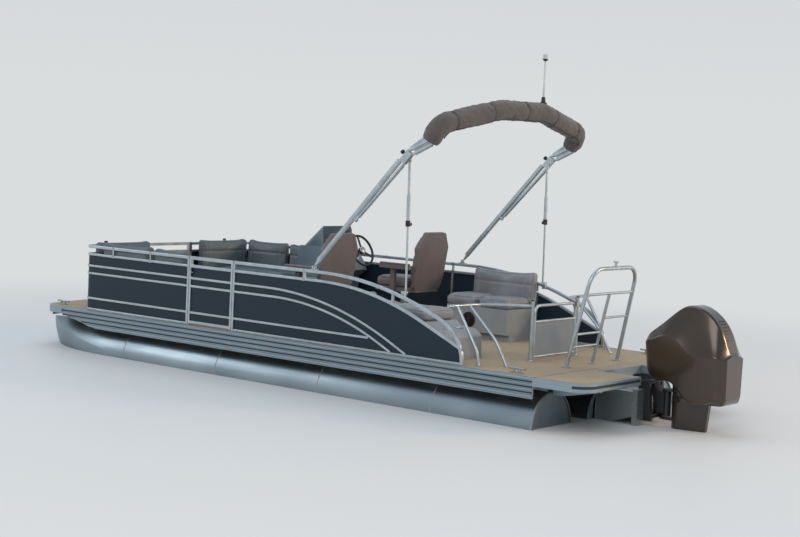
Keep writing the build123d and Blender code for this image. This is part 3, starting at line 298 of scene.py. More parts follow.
def speckle(tree, size_mm, detail=3.0, rough=0.55, stretch=(1, 1, 1)):
    """A soft random pattern whose blots are about size_mm across, longer where stretch is under 1."""
    place = add(tree, "ShaderNodeTexCoord").outputs["Object"]
    scaled = add(tree, "ShaderNodeMapping", {"Vector": place, "Scale": stretch}).outputs[0]
    pattern = {"Vector": scaled, "Scale": 1000 / size_mm, "Detail": detail, "Roughness": rough}
    return add(tree, "ShaderNodeTexNoise", pattern).outputs["Fac"]


def weave(tree, pitch_mm, directions, crossing, distortion, coarse=1.0):
    """Two sets of wavering strands about pitch_mm apart, crossed."""
    place = add(tree, "ShaderNodeTexCoord").outputs["Object"]
    pattern = {"Vector": place, "Scale": math.tau / (WAVE_PACE * pitch_mm * MM), "Distortion": distortion,
               "Detail": 1.0, "Detail Scale": coarse}
    strands = [add(tree, "ShaderNodeTexWave", pattern, bands_direction=way).outputs["Fac"]
               for way in directions]
    return add(tree, "ShaderNodeMath", dict(enumerate(strands)), operation=crossing).outputs[0]


def ranged(tree, value, low, high, start=0.3, end=0.7):
    """value, which runs from start to end, carried to a range from low to high."""
    return add(tree, "ShaderNodeMapRange", {0: value, 1: start, 2: end, 3: low, 4: high}).outputs[0]


def two_tone(tree, shader, value, dark, light):
    """Colours the surface between dark and light by value."""
    mixed = add(tree, "ShaderNodeMix", {0: value, 6: linear(dark), 7: linear(light)}, data_type="RGBA")
    tree.links.new(mixed.outputs[2], shader.inputs["Base Color"])


def bumped(tree, shader, height, depth_mm, strength):
    """Raises the surface by height, which runs from 0 to 1, as much as depth_mm."""
    bump = add(tree, "ShaderNodeBump", {"Height": height, "Distance": depth_mm * MM, "Strength": strength})
    tree.links.new(bump.outputs[0], shader.inputs["Normal"])


def surface(name, dark, light, roughness, blots, grain=None, bump=None, **sockets):
    """A material mottled between two colours by the speckle blots.

    A roughness of two numbers is a range, which the speckle grain runs over, or else blots. bump is
    (speckle, depth in mm, strength).
    """
    made, tree, shader = finish(name, 0.5 if isinstance(roughness, tuple) else roughness, **sockets)
    two_tone(tree, shader, ranged(tree, speckle(tree, *blots), 0, 1), dark, light)
    if isinstance(roughness, tuple):
        tree.links.new(ranged(tree, speckle(tree, *(grain or blots)), *roughness), shader.inputs["Roughness"])
    if bump:
        height, depth_mm, strength = bump
        bumped(tree, shader, speckle(tree, *height), depth_mm, strength)
    return made


def deck_vinyl():
    # Woven vinyl flooring: crossed strands, tan with grey, drawn at 15 mm so that they show
    made, tree, shader = finish("woven_vinyl_floor", 0.75)
    strands = weave(tree, 15, "XY", "MULTIPLY", 0.6, 4.0)
    tone = {0: strands, 1: speckle(tree, 120, 5), 2: 0.25}
    tone = add(tree, "ShaderNodeMath", tone, operation="MULTIPLY_ADD")
    two_tone(tree, shader, ranged(tree, tone.outputs[0], 0, 1, 0.25, 0.75), "#9d8970", "#c4ae8f")
    bumped(tree, shader, strands, 0.8, 0.6)
    return made


def boot_canvas():
    # Solution-dyed acrylic canvas: plain weave drawn at 7 mm, matt, sun-faded in broad patches
    made, tree, shader = finish("acrylic_canvas", 0.92, Sheen_Weight=0.2, Sheen_Roughness=0.6)
    two_tone(tree, shader, ranged(tree, speckle(tree, 500, 4), 0, 1), "#474140", "#595250")
    bumped(tree, shader, weave(tree, 7, ("Y", "DIAGONAL"), "ADD", 1.0), 0.5, 0.35)
    return made


# Kinds of finish: upholstery with an embossed grain, moulded plastic, metallic enamel, coloured lenses
LEATHER = (5, 4, 0.6)
SEAT = dict(roughness=(0.42, 0.58), blots=(260, 3), grain=LEATHER, bump=(LEATHER, 0.6, 0.5), Coat_Weight=0.15,
            Coat_Roughness=0.35)
PLASTIC = dict(blots=(150,), bump=((2.5, 2), 0.2, 0.5))
ENAMEL = dict(blots=(3, 2, 0.7), bump=((350,), 1.5, 0.4), Metallic=0.45, Coat_Weight=0.9, Coat_Roughness=0.16)
LENS = dict(roughness=0.12, blots=(20,), Transmission_Weight=0.35)

# Metals: mill-finish sheet with drawn lines and a slow unevenness, duller extrusions, anodised tube and skirt
ROLLING = (420, 2, 0.55, (0.5, 1, 1))
TUBES = surface("rolled_aluminium_sheet", "#7f8c94", "#97a3aa", (0.32, 0.42), ROLLING,
                (14, 4, 0.55, ALONG_HULL), (ROLLING, 1.5, 0.4), Metallic=1.0)
MILL = surface("extruded_aluminium", "#8f9496", "#b0b4b6", (0.42, 0.58), (9, 3, 0.55, (1, 0.05, 1)),
               Metallic=1.0)
RAILS = surface("clear_anodised_tube", "#a6b0b6", "#bac3c8", (0.32, 0.42), (90, 3), Metallic=0.85)
SKIRT = surface("satin_anodised_skirt", "#8898a1", "#9caab2", (0.38, 0.5), (12, 3, 0.55, ALONG_HULL),
                Metallic=0.6)
CAST = surface("cast_aluminium_fitting", "#989c9e", "#b7babb", 0.38, (5, 3), bump=((5, 3), 0.2, 0.4),
               Metallic=1.0)
STEEL = surface("polished_stainless", "#b2b2b0", "#d2d2d0", (0.14, 0.3), (18, 4), Metallic=1.0)
# Paints and gelcoat: slate with a fine metallic fleck, motor enamel, a glossy skin with a faint orange-peel
PANEL = surface("slate_metallic_paint", "#10202b", "#1a2d3a", 0.5, (3, 2, 0.7), bump=((700, 2), 2.5, 0.4),
                Metallic=0.1, Specular_IOR_Level=0.3, Coat_Weight=0.1)
COWL = surface("bronze_motor_enamel", "#2c1f10", "#433322", 0.3, **ENAMEL)
LEG = surface("dark_motor_enamel", "#261d14", "#3a2e22", 0.36, **ENAMEL)
CONSOLE = surface("slate_gelcoat", "#5d6c79", "#6f7e8a", 0.28, (300, 2), bump=((6, 1), 0.15, 0.5),
                  Coat_Weight=0.5, Coat_Roughness=0.1)
# Vinyls, canvas and rubber
FLOORING = deck_vinyl()
SLATE_VINYL = surface("slate_seat_vinyl", "#4e595d", "#5c666a", **SEAT)
GREY_VINYL = surface("grey_seat_vinyl", "#77797c", "#909296", **SEAT)
BROWN_VINYL = surface("mauve_seat_vinyl", "#675e5d", "#776d6b", **SEAT)
PIPING = surface("grey_welt_vinyl", "#8d8f91", "#a2a4a6", 0.42, (30,))
SLATE_PIPING = surface("slate_welt_vinyl", "#57656c", "#68767c", 0.42, (30,))
CANVAS = boot_canvas()
RUBBER = surface("moulded_grip_rubber", "#161618", "#27272a", 0.62, (40,), bump=((4,), 0.4, 0.6))
# Plastics
BASES = surface("moulded_seat_base", "#8a8f92", "#969b9e", 0.55, **PLASTIC)
GREY_PANEL = surface("moulded_gate_panel", "#76818a", "#7f8a91", 0.5, **PLASTIC)
BLACK_PLASTIC = surface("black_moulded_plastic", "#141416", "#1f1f22", 0.45, **PLASTIC)
WHITE_PLASTIC = surface("white_moulded_plastic", "#b9babb", "#cecfcf", 0.4, **PLASTIC)
BROWN_SHELL = surface("moulded_seat_shell", "#635b5c", "#6b6364", 0.5, **PLASTIC)
WEBBING = surface("umber_webbing", "#423c3a", "#4e4745", 0.85, **PLASTIC)
INSERT = surface("skirt_insert_vinyl", "#20262b", "#2d353b", 0.6, **PLASTIC)
BRACKET = surface("black_bracket_enamel", "#17171a", "#232326", 0.4, **PLASTIC)
RED_LENS = surface("red_lens", "#a01216", "#b91a1e", **LENS)
GREEN_LENS = surface("green_lens", "#0c7a40", "#129550", **LENS)
SMOKED = surface("smoked_acrylic_sheet", "#788896", "#8c9ba7", 0.12, (240, 1), bump=((240, 1), 0.6, 0.2),
                 Transmission_Weight=0.45, IOR=1.49)

NODE_FINISHES = {
    TUBES: ["pontoon_port", "pontoon_centre", "pontoon_starboard"],
    MILL: ["cross_members", "motor_pod"],
    SKIRT: ["deck_skirts", "bow_trim", "swim_platform"],
    FLOORING: ["deck"],
    RAILS: ["fence_port_fore", "fence_port_aft", "fence_starboard", "fence_bow", "stern_rails", "tow_bar",
            "side_gate_frame", "bow_gate_frame", "stern_gate_frame", "bimini_frame", "bimini_mounts",
            "strut_rod_port", "strut_rod_starboard", "strut_sleeve_port", "strut_sleeve_starboard",
            "chair_pedestal"],
    PANEL: ["panels_port", "panels_starboard", "panels_bow", "side_gate_panel", "bow_gate_panel"],
    GREY_PANEL: ["stern_gate_panel"],
    BASES: ["lounge_bases"],
    CONSOLE: ["helm_console"],
    BLACK_PLASTIC: ["helm_column"],
    RUBBER: ["steering_wheel"],
    WHITE_PLASTIC: ["light_pole"],
    BRACKET: ["outboard_clamp", "outboard_swivel"],
    COWL: ["outboard_cowl"],
    LEG: ["outboard_leg", "outboard_gearcase"],
    STEEL: ["propeller"],
    SMOKED: ["windscreen"],
    CAST: ["cleats"],
}


# Pieces
def dress(shape, material):
    shape.data.materials.clear()
    shape.data.materials.append(material)


def fitted(shape, material, body="hull", sharp=38):
    """Finishes a piece: its material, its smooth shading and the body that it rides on."""
    dress(shape, material)
    shape.data.shade_smooth()
    shape.data.set_sharp_from_angle(angle=math.radians(sharp))
    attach(shape, body)
    return shape


def merged(name, shapes):
    points, faces = [], []
    for shape_points, shape_faces in shapes:
        start = len(points)
        points += [tuple(point) for point in shape_points]
        faces += [[start + index for index in face] for face in shape_faces]
    mesh = bpy.data.meshes.new(name)
    mesh.from_pydata(points, [], faces)
    mesh.update()
    return mesh


def piece(name, shapes, material, body="hull", sharp=38):
    return fitted(link_object(name, merged(name, shapes)), material, body, sharp)


def evaluated_mesh(shape):
    graph = bpy.context.evaluated_depsgraph_get()
    return bpy.data.meshes.new_from_object(shape.evaluated_get(graph))


def modified(shape, kind, **settings):
    """Applies one modifier to a shape."""
    modifier = shape.modifiers.new(kind, kind)
    for name, value in settings.items():
        setattr(modifier, name, value)
    mesh = evaluated_mesh(shape)
    shape.modifiers.clear()
    shape.data = mesh


for material, names in NODE_FINISHES.items():
    for name in names:
        dress(node_objects[name], material)

# Repeats: a shape set out at even steps along rows, standing on the row's facing
REPEAT_SEED = 11


def repeats_tree():
    tree = bpy.data.node_groups.new("set_out_along_rows", "GeometryNodeTree")
    new_socket = tree.interface.new_socket
    new_socket("Geometry", in_out="OUTPUT", socket_type="NodeSocketGeometry")
    kinds = {"Geometry": "Geometry", "Shape": "Object", "Spacing": "Float", "Least": "Float", "Most": "Float"}
    sockets = {name: new_socket(name, in_out="INPUT", socket_type="NodeSocket" + kind).identifier
               for name, kind in kinds.items()}
    given = add(tree, "NodeGroupInput").outputs
    rows = add(tree, "GeometryNodeMeshToCurve", {0: given["Geometry"]}).outputs[0]
    spaced = add(tree, "GeometryNodeResampleCurve", {"Curve": rows, "Length": given["Spacing"]},
                 mode="LENGTH").outputs[0]
    facing = add(tree, "GeometryNodeInputNamedAttribute", {"Name": "facing"},
                 data_type="FLOAT_VECTOR").outputs[0]
    along = add(tree, "GeometryNodeInputTangent").outputs[0]
    turn = add(tree, "FunctionNodeAxesToRotation", {0: facing, 1: along}, primary_axis="Z",
               secondary_axis="X").outputs[0]
    size = add(tree, "FunctionNodeRandomValue", {2: given["Least"], 3: given["Most"], "Seed": REPEAT_SEED},
               data_type="FLOAT").outputs[1]
    shape = add(tree, "GeometryNodeObjectInfo", {"Object": given["Shape"]}).outputs["Geometry"]
    each = {"Points": spaced, "Instance": shape, "Rotation": turn, "Scale": size}
    each = add(tree, "GeometryNodeInstanceOnPoints", each).outputs[0]
    add(tree, "NodeGroupOutput", {0: add(tree, "GeometryNodeRealizeInstances", {0: each}).outputs[0]})
    return tree, sockets


REPEATS, REPEAT_SOCKETS = repeats_tree()


def set_out(name, shape, rows, spacing, material, body="hull", spread=0.0, closed=False):
    """Sets out a shape along rows of (points, facing), and makes one plain piece of them."""
    points, edges, facings = [], [], []
    for row, facing in rows:
        start = len(points)
        points += [tuple(point) for point in row]
        facings += [tuple(f) for f in (facing if isinstance(facing, list) else [facing] * len(row))]
        edges += [(start + k, start + k + 1) for k in range(len(row) - 1)]
        if closed:
            edges.append((start + len(row) - 1, start))
    mesh = bpy.data.meshes.new(name)
    mesh.from_pydata(points, edges, [])
    facing = mesh.attributes.new("facing", "FLOAT_VECTOR", "POINT")
    facing.data.foreach_set("vector", np.array(facings).ravel())
    pattern = link_object(name + "_pattern", merged(name + "_pattern", [shape]))
    made = link_object(name, mesh)
    modifier = made.modifiers.new("rows", "NODES")
    modifier.node_group = REPEATS
    values = {"Shape": pattern, "Spacing": spacing * MM, "Least": 1 - spread, "Most": 1 + spread}
    for socket, value in values.items():
        modifier[REPEAT_SOCKETS[socket]] = value
    result = evaluated_mesh(made)
    made.modifiers.clear()
    made.data = result
    bpy.data.objects.remove(pattern)
    return fitted(made, material, body)


def spots(at, radius, count, start=0.0):
    """Rows for set_out that hold one place each, in a level circle."""
    circle = [Vector(at) + way * radius * MM for way in ways_round(FORE, PORT, count, start)]
    return [([place, place + PORT * MM], UPWARDS) for place in circle]


SPOT_SPACING = 500  # far longer than a spot's row, so that each row gets one shape
# Heads of small fasteners, as profiles for a radius of 1
RIVET = [(1, 0), (0.9, 0.3), (0.55, 0.5), (0.05, 0.58)]
SOCKET_SCREW = [(1, 0), (0.98, 0.25), (0.75, 0.5), (0.42, 0.56), (0.38, 0.2), (0.02, 0.2)]
BOLT_HEAD = [(1.35, 0), (1.35, 0.18), (1, 0.2), (1, 0.75), (0.85, 0.85), (0.02, 0.86)]
WELD_BEAD = [(1, 0), (0.84, 0.32), (0.4, 0.54), (0.04, 0.6)]


def head(profile, radius, sides=8):
    return turned([(across * radius, up * radius) for across, up in profile], ORIGIN, sides=sides)


# Soft goods: each cushion is a CAD solid remeshed, blown up as cloth, sewn and piped
VOXEL, CHAIR_VOXEL = 0.019, 0.014
SHRINK = 0.012
SWELL_CAP = 0.024
CHANNEL_HALF = 0.011
WELT_RADIUS = 4.2
THIN = 0.16  # every cushion is thinner than this through its padding
SEAM_IN = 0.10
LOUNGES = {
    "bow_lounge_port": (1, SLATE_VINYL, SLATE_PIPING),
    "bow_lounge_starboard": (-1, SLATE_VINYL, SLATE_PIPING),
    "aft_lounge_port": (1, GREY_VINYL, PIPING),
    "aft_lounge_starboard": (-1, GREY_VINYL, PIPING),
}
# Each chair's body and the place of its pedestal
CHAIRS = {"captains_chair": ("chair", (-0.12, -0.70)), "companion_chair": ("companion_chair", (-0.02, 0.69))}


def loose_parts(node):
    """Each separate solid of a CAD node as (points, faces), doubles merged, in order of place."""
    whole = bmesh.new()
    whole.from_mesh(node_objects[node].data)
    bmesh.ops.remove_doubles(whole, verts=whole.verts, dist=0.0001)
    whole.verts.index_update()
    seen, parts = set(), []
    for start in whole.verts:
        if start in seen:
            continue
        stack, island = [start], []
        seen.add(start)
        while stack:
            vertex = stack.pop()
            island.append(vertex)
            others = [edge.other_vert(vertex) for edge in vertex.link_edges]
            fresh = [other for other in others if other not in seen]
            seen.update(fresh)
            stack += fresh
        order = {v: i for i, v in enumerate(island)}
        faces = {f for v in island for f in v.link_faces}
        parts.append(([v.co.copy() for v in island], [[order[v] for v in f.verts] for f in faces]))
    whole.free()
    return sorted(parts, key=lambda part: min((round(p.x, 3), round(p.y, 3), round(p.z, 3)) for p in part[0]))


def limits(points):
    cloud = np.array([tuple(p) for p in points])
    return cloud.min(0), cloud.max(0)


def shrunk(points, inset):
    """The points drawn in towards their middle, by about inset on every side."""
    low, high = limits(points)
    middle, half = (low + high) / 2, (high - low) / 2
    scale = (half - inset) / half
    return [tuple(middle + (np.array(p) - middle) * scale) for p in points]


def remeshed(name, points, faces, voxel):
    mesh = bpy.data.meshes.new(name)
    mesh.from_pydata(points, [], faces)
    shape = link_object(name, mesh)
    modified(shape, "REMESH", mode="VOXEL", voxel_size=voxel)
    return shape


def rows_of(items, field):
    """A vector that each item of a mesh has, as rows of an array."""
    flat = np.empty(len(items) * 3)
    items.foreach_get(field, flat)
    return flat.reshape(-1, 3)


def move_to(mesh, points):
    mesh.vertices.foreach_set("co", points.ravel())
    mesh.update()


def swell(shapes, pressure=4.0, frames=20):
    """Swells closed cushions with air pressure as cloth, no point further than the cap."""
    scene = bpy.context.scene
    for shape in shapes:
        cloth = shape.modifiers.new("cloth", "CLOTH")
        cloth.settings.quality = 4
        cloth.settings.mass = 0.3
        cloth.settings.use_pressure = True
        cloth.settings.uniform_pressure_force = pressure
        cloth.settings.effector_weights.gravity = 0
        cloth.point_cache.frame_start = 1
        cloth.point_cache.frame_end = frames
    for number in range(1, frames + 1):
        scene.frame_set(number)
    for shape in shapes:
        rest = rows_of(shape.data.vertices, "co")
        moved = rows_of(evaluated_mesh(shape).vertices, "co") - rest
        far = np.maximum(np.linalg.norm(moved, axis=1), 1e-9)
        moved *= np.minimum(1, SWELL_CAP / far)[:, None]
        shape.modifiers.clear()
        move_to(shape.data, rest + moved)
    scene.frame_set(1)


def sew(mesh, facing, lines):
    """Sinks sewn channels in a cushion's face; each line is (axis, place, depth) across that axis."""
    points, normals = rows_of(mesh.vertices, "co"), rows_of(mesh.vertex_normals, "vector")
    shown = np.clip(normals @ np.array(facing) * 1.6 - 0.3, 0, 1)
    depth = np.zeros(len(points))
    for axis, place, deep in lines:
        away = np.abs(points[:, axis] - place) / CHANNEL_HALF
        depth = np.maximum(depth, deep * np.exp(-away ** 2))
    move_to(mesh, points - normals * (depth * shown)[:, None])


def section_loop(mesh, at, normal, step=0.014):
    """The longest closed line where a plane cuts a mesh, evened out and smoothed."""
    shape = bmesh.new()
    shape.from_mesh(mesh)
    everything = [*shape.verts, *shape.edges, *shape.faces]
    cut = bmesh.ops.bisect_plane(shape, geom=everything, plane_co=at, plane_no=normal)["geom_cut"]
    links = {}
    for edge in (item for item in cut if isinstance(item, bmesh.types.BMEdge)):
        for vertex in edge.verts:
            links.setdefault(vertex, []).append(edge.other_vert(vertex))
    loops, seen = [], set()
    for start in sorted(links, key=lambda v: tuple(v.co)):
        if start in seen:
            continue
        loop, vertex = [], start
        while vertex is not None:
            seen.add(vertex)
            loop.append(tuple(vertex.co))
            vertex = next((other for other in links[vertex] if other not in seen), None)
        loops.append(loop)
    shape.free()
    loop = np.array(max(loops, key=len))
    travelled = np.concatenate([[0], np.cumsum(np.linalg.norm(np.roll(loop, -1, 0) - loop, axis=1))])
    places = np.linspace(0, travelled[-1], max(12, int(travelled[-1] / step)), endpoint=False)
    closed = np.vstack([loop, loop[:1]])
    evened = np.stack([np.interp(places, travelled, closed[:, k]) for k in range(3)], 1)
    for _ in range(4):
        evened = (np.roll(evened, 1, 0) + 2 * evened + np.roll(evened, -1, 0)) / 4
    return evened


def surface_of(mesh):
    shape = bmesh.new()
    shape.from_mesh(mesh)
    tree = BVHTree.FromBMesh(shape)
    shape.free()
    return tree


def piping(mesh, at, normal):
    """Welt piping along the line where a plane cuts a cushion, half sunk in its cover."""
    tree = surface_of(mesh)
    line = []
    for point in section_loop(mesh, at, normal):
        place, outwards, _, _ = tree.find_nearest(Vector(point))
        line.append(place + outwards * (0.35 * WELT_RADIUS * MM))
    return swept(line, WELT_RADIUS, True)


def lounge_form(low, high, side):
    """The way a cushion faces, a point and normal for its piping, and its sewn lines; side is 1 to port."""
    middle = (low + high) / 2
    inner = low[1] if side > 0 else high[1]
    ends = [(0, low[0] + SEAM_IN, 0.006), (0, high[0] - SEAM_IN, 0.006)]
    top = (2, high[2] - 0.13, 0.007)
    if high[2] - low[2] < THIN:
        lines = [*ends, (1, inner + side * SEAM_IN, 0.006)]
        return UPWARDS, (middle[0], middle[1], high[2] - 0.024), UPWARDS, lines
    if high[0] - low[0] < THIN:
        lines = [(1, low[1] + SEAM_IN, 0.006), (1, high[1] - SEAM_IN, 0.006), top]
        return AFT, (low[0] + 0.038, middle[1], middle[2]), (-0.997, 0, 0.078), lines
    return -side * PORT, (middle[0], inner + side * 0.04, middle[2]), (0, -0.997 * side, 0.078), [*ends, top]


def chair_form(low, high, y):
    """The same for a chair's cushion, whose middle is at y."""
    middle = (low + high) / 2
    if high[2] - low[2] < THIN:
        lines = [(1, y - 0.145, 0.009), (1, y + 0.145, 0.009), (0, high[0] - 0.11, 0.008)]
        return UPWARDS, (middle[0], y, high[2] - 0.024), UPWARDS, lines
    lines = [(1, y - 0.135, 0.009), (1, y + 0.135, 0.009)]
    lines += [(2, low[2] + height, 0.007) for height in (0.12, 0.21, 0.30, 0.46)]
    return (0.988, 0, 0.156), (middle[0] - 0.004, y, middle[2]), (0.988, 0, 0.156), lines


covers, shells, welts = {}, {}, {}
for node in LOUNGES:
    for number, (points, faces) in enumerate(loose_parts(node), 1):
        covers[node, number] = remeshed(f"{node}_cushion_{number}", shrunk(points, SHRINK), faces, VOXEL)
for node in CHAIRS:
    *pads, shells[node] = sorted(loose_parts(node), key=lambda part: float(np.prod(np.ptp(part[0], axis=0))))
    for number, (points, faces) in enumerate(pads, 1):
        name = f"{node}_cushion_{number}"
        covers[node, number] = remeshed(name, shrunk(points, 0.6 * SHRINK), faces, CHAIR_VOXEL)
swell(list(covers.values()))

for (node, number), cover in covers.items():
    modified(cover, "SUBSURF", levels=1, render_levels=1)
    box = limits(rows_of(cover.data.vertices, "co"))
    if node in LOUNGES:
        body, (side, material, _) = "hull", LOUNGES[node]
        facing, at, normal, lines = lounge_form(*box, side)
    else:
        (body, (_, y)), material = CHAIRS[node], BROWN_VINYL
        facing, at, normal, lines = chair_form(*box, y)
    welts.setdefault(node, []).append(piping(cover.data, at, normal))
    sew(cover.data, facing, lines)
    fitted(cover, material, body, sharp=180)
for node, (_, _, welt) in LOUNGES.items():
    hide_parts(node)
    piece(f"{node}_piping", welts[node], welt)
for node, (body, _) in CHAIRS.items():
    shell = piece(f"{node}_shell", [shells[node]], BROWN_SHELL, body, sharp=30)
    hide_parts(node)
    piece(f"{node}_piping", welts[node], BROWN_SHELL, body)

# The boot: canvas laced round the folded canopy and drawn in by straps.
# Its arch is in its own leaning plane: y and height up from its ends, with the radii of its bends.
BOOT_FOOT = (-1.8275, 2.4837)
BOOT_LEAN = math.radians(60)
BOOT_TOP = 0.385
BOOT_ARCH = [(1.190, 0), (1.165, 0.190), (0.350, BOOT_TOP), (-0.350, BOOT_TOP), (-1.165, 0.190), (-1.190, 0)]
BOOT_BENDS = [0.120, 0.900, 0.320, 0.120]
BOOT_RADIUS = 0.096
BOOT_UP = Vector((-math.cos(BOOT_LEAN), 0, math.sin(BOOT_LEAN)))
BOOT_AFT = Vector((math.sin(BOOT_LEAN), 0, math.cos(BOOT_LEAN)))
BOOT_STEP = 0.011
BOOT_SIDES = 44
BOOT_ANGLES = [math.tau * k / BOOT_SIDES for k in range(BOOT_SIDES)]
BOOT_END = 0.09  # how far from an end the canvas begins to close
BOOT_CLEAR = 8  # steps at each end that the zip and the seam leave free
STRAP_PLACES = [0.12, 0.31, 0.5, 0.69, 0.88]
STRAP_SECTION = [(-0.003, -0.016), (0.0025, -0.016), (0.0025, 0.016), (-0.003, 0.016)]
ZIP_ANGLE, SEAM_ANGLE = math.radians(-118), math.radians(35)


def rounded_route(corners, bends, step):
    """A flat route of runs and arcs as evenly spaced points, and its length."""
    points = [Vector(corners[0])]
    for corner, before, after, bend in zip(corners[1:-1], corners, corners[2:], bends):
        corner = Vector(corner)
        back, ahead = (Vector(before) - corner).normalized(), (Vector(after) - corner).normalized()
        half = back.angle(ahead) / 2
        middle = corner + (back + ahead).normalized() * (bend / math.sin(half))
        start, end = corner + back * (bend / math.tan(half)), corner + ahead * (bend / math.tan(half))
        points += [middle + (start.lerp(end, share) - middle).normalized() * bend
                   for share in np.linspace(0, 1, 14)]
    line = np.array([tuple(p) for p in [*points, corners[-1]]])
    travelled = np.concatenate([[0], np.cumsum(np.linalg.norm(np.diff(line, axis=0), axis=1))])
    places = np.linspace(0, travelled[-1], int(travelled[-1] / step))
    return np.stack([np.interp(places, travelled, line[:, k]) for k in range(2)], 1), travelled[-1]


BOOT_LINE, BOOT_LENGTH = rounded_route(BOOT_ARCH, BOOT_BENDS, BOOT_STEP)


def boot_frame(index):
    """The boot's middle at a step along it, the way out of its arch and the way along it."""
    y, up = BOOT_LINE[index]
    at = Vector((BOOT_FOOT[0], y, BOOT_FOOT[1])) + BOOT_UP * up
    ahead = BOOT_LINE[min(index + 1, len(BOOT_LINE) - 1)] - BOOT_LINE[max(index - 1, 0)]
    along = (PORT * ahead[0] + BOOT_UP * ahead[1]).normalized()
    return at, along.cross(BOOT_AFT).normalized(), along


def boot_reach(place, angle):
    """The boot's radius at a distance along it and an angle round it, with its folds and its ties."""
    across, up = math.cos(angle), math.sin(angle)
    lumps = noise.noise(Vector((place * 3.5, across * 0.8, up * 0.8)))
    folds = noise.noise(Vector((place * 17 + angle, across * 1.3, up * 1.3 + 7)))
    creases = noise.noise(Vector((place * 9 - 2 * angle, across * 2.2 + 3, up * 2.2)))
    reach = BOOT_RADIUS + 0.004 * lumps + 0.005 * folds - 0.006 * max(0, 1 - abs(creases) * 7)
    for share in STRAP_PLACES:
        reach -= 0.005 * math.exp(-((place - share * BOOT_LENGTH) / 0.035) ** 2)
    reach -= 0.004 * across
    end = min(place, BOOT_LENGTH - place)
    if end < BOOT_END:
        reach -= (1 - end / BOOT_END) ** 2 * (0.022 + 0.006 * math.cos(13 * angle))
    return reach


def boot_point(index, angle, lift=0.0):
    """A point on the boot at a step along it and an angle round it, and the way outwards there."""
    at, outwards, _ = boot_frame(index)
    way = outwards * math.cos(angle) + BOOT_AFT * math.sin(angle)
    return at + way * (boot_reach(BOOT_LENGTH * index / (len(BOOT_LINE) - 1), angle) + lift), way


def boot_shape():
    points = [boot_point(index, angle)[0] for index in range(len(BOOT_LINE)) for angle in BOOT_ANGLES]
    return points, [(face[0], *face[:0:-1]) for face in skin(len(BOOT_LINE), BOOT_SIDES)]


def boot_strap(share):
    """A webbing band round the boot."""
    at, outwards, along = boot_frame(int(share * (len(BOOT_LINE) - 1)))
    points = []
    for angle in BOOT_ANGLES:
        way = outwards * math.cos(angle) + BOOT_AFT * math.sin(angle)
        reach = boot_reach(share * BOOT_LENGTH, angle) + 0.001
        points += [at + way * (reach + height) + along * offset for height, offset in STRAP_SECTION]
    return points, skin(BOOT_SIDES, len(STRAP_SECTION), True)


def boot_line_at(angle, lift):
    """A line along the boot at an angle round it, with the ways outwards."""
    steps = range(BOOT_CLEAR, len(BOOT_LINE) - BOOT_CLEAR)
    return tuple(map(list, zip(*[boot_point(index, angle, lift) for index in steps])))


boot = piece("bimini_boot_canvas", [boot_shape()], CANVAS, "bimini", sharp=180)
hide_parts("bimini_boot")
piece("bimini_boot_straps", [boot_strap(share) for share in STRAP_PLACES], WEBBING, "bimini", sharp=30)
zip_line, zip_facing = boot_line_at(ZIP_ANGLE, 0.0015)
seam_line, _ = boot_line_at(SEAM_ANGLE, 0.0008)
piece("bimini_boot_welts", [swept(zip_line, 4.5), swept(seam_line, 2.6)], CANVAS, "bimini")
set_out("bimini_boot_zip", block((-0.0016, -0.006, 0), (0.0016, 0.006, 0.0016), 0.4),
        [([p + f * 0.0045 for p, f in zip(zip_line, zip_facing)], zip_facing)], 12, BLACK_PLASTIC, "bimini")
stitch = turned([(0.4, -4.5), (1.2, -3.6), (1.3, 0), (1.2, 3.6), (0.4, 4.5)], ORIGIN, FORE, 6)
set_out("bimini_boot_stitches", stitch, [boot_line_at(SEAM_ANGLE + 0.09, 0.0002)], 14, PIPING, "bimini")

# Fence: rivets, screws, bolts and corner clamps
PANEL_FACE = 1.2212
RAIL_FACE = 1.231
RAIL_TOP = 1.186
DECK_TOP = 0.4702
GATE_AFT, GATE_FORE = 0.583, 1.217


def side_rows(x_from, x_to, y, z, facing=None):
    """The same row of points on each side of the boat, facing outwards unless it is told."""
    return [([(x_from, side * y, z), (x_to, side * y, z)], facing or PORT * side) for side in (1, -1)]


panel_rivets = [([(x_from, side * PANEL_FACE, z), (x_to, side * PANEL_FACE, z)], PORT * side)
                for z in (1.058, 0.508)
                for x_from, x_to, side in ((GATE_FORE + 0.05, 2.72, 1), (0.53, -0.95, 1), (2.72, -0.95, -1))]
set_out("panel_rivets", head(RIVET, 5.5), panel_rivets, 145, PANEL)
trim_screws = side_rows(2.70, 1.26, RAIL_FACE, 0.603) + side_rows(0.52, -1.15, RAIL_FACE, 0.603)
for z in (0.960, 0.877):
    trim_screws += side_rows(2.70, 1.26, RAIL_FACE, z)
set_out("trim_screws", head(SOCKET_SCREW, 5.2), trim_screws, 290, STEEL)
rail_feet = side_rows(2.68, -2.28, 1.246, DECK_TOP, UPWARDS)
set_out("rail_foot_bolts", head(BOLT_HEAD, 9, 6), rail_feet, 420, STEEL)

clamps = []
for x in (2.41, 1.82, -0.38):
    clamps.append(block((x - 0.021, 1.1985, 1.0685), (x + 0.021, 1.2322, 1.1015), 3))
    clamps.append(block((x - 0.017, 1.1985, 1.1512), (x + 0.017, 1.2322, 1.1870), 3))
for x in (GATE_AFT - 0.0155, GATE_FORE + 0.0155):
    clamps.append(block((x - 0.0145, 1.1975, 1.1545), (x + 0.0145, 1.2325, 1.1885), 4))
piece("rail_clamps", both(clamps), CAST)

# Gates: their latches and hinge pins
LATCH_Z = 1.031
LATCH_BOSS = 0.004
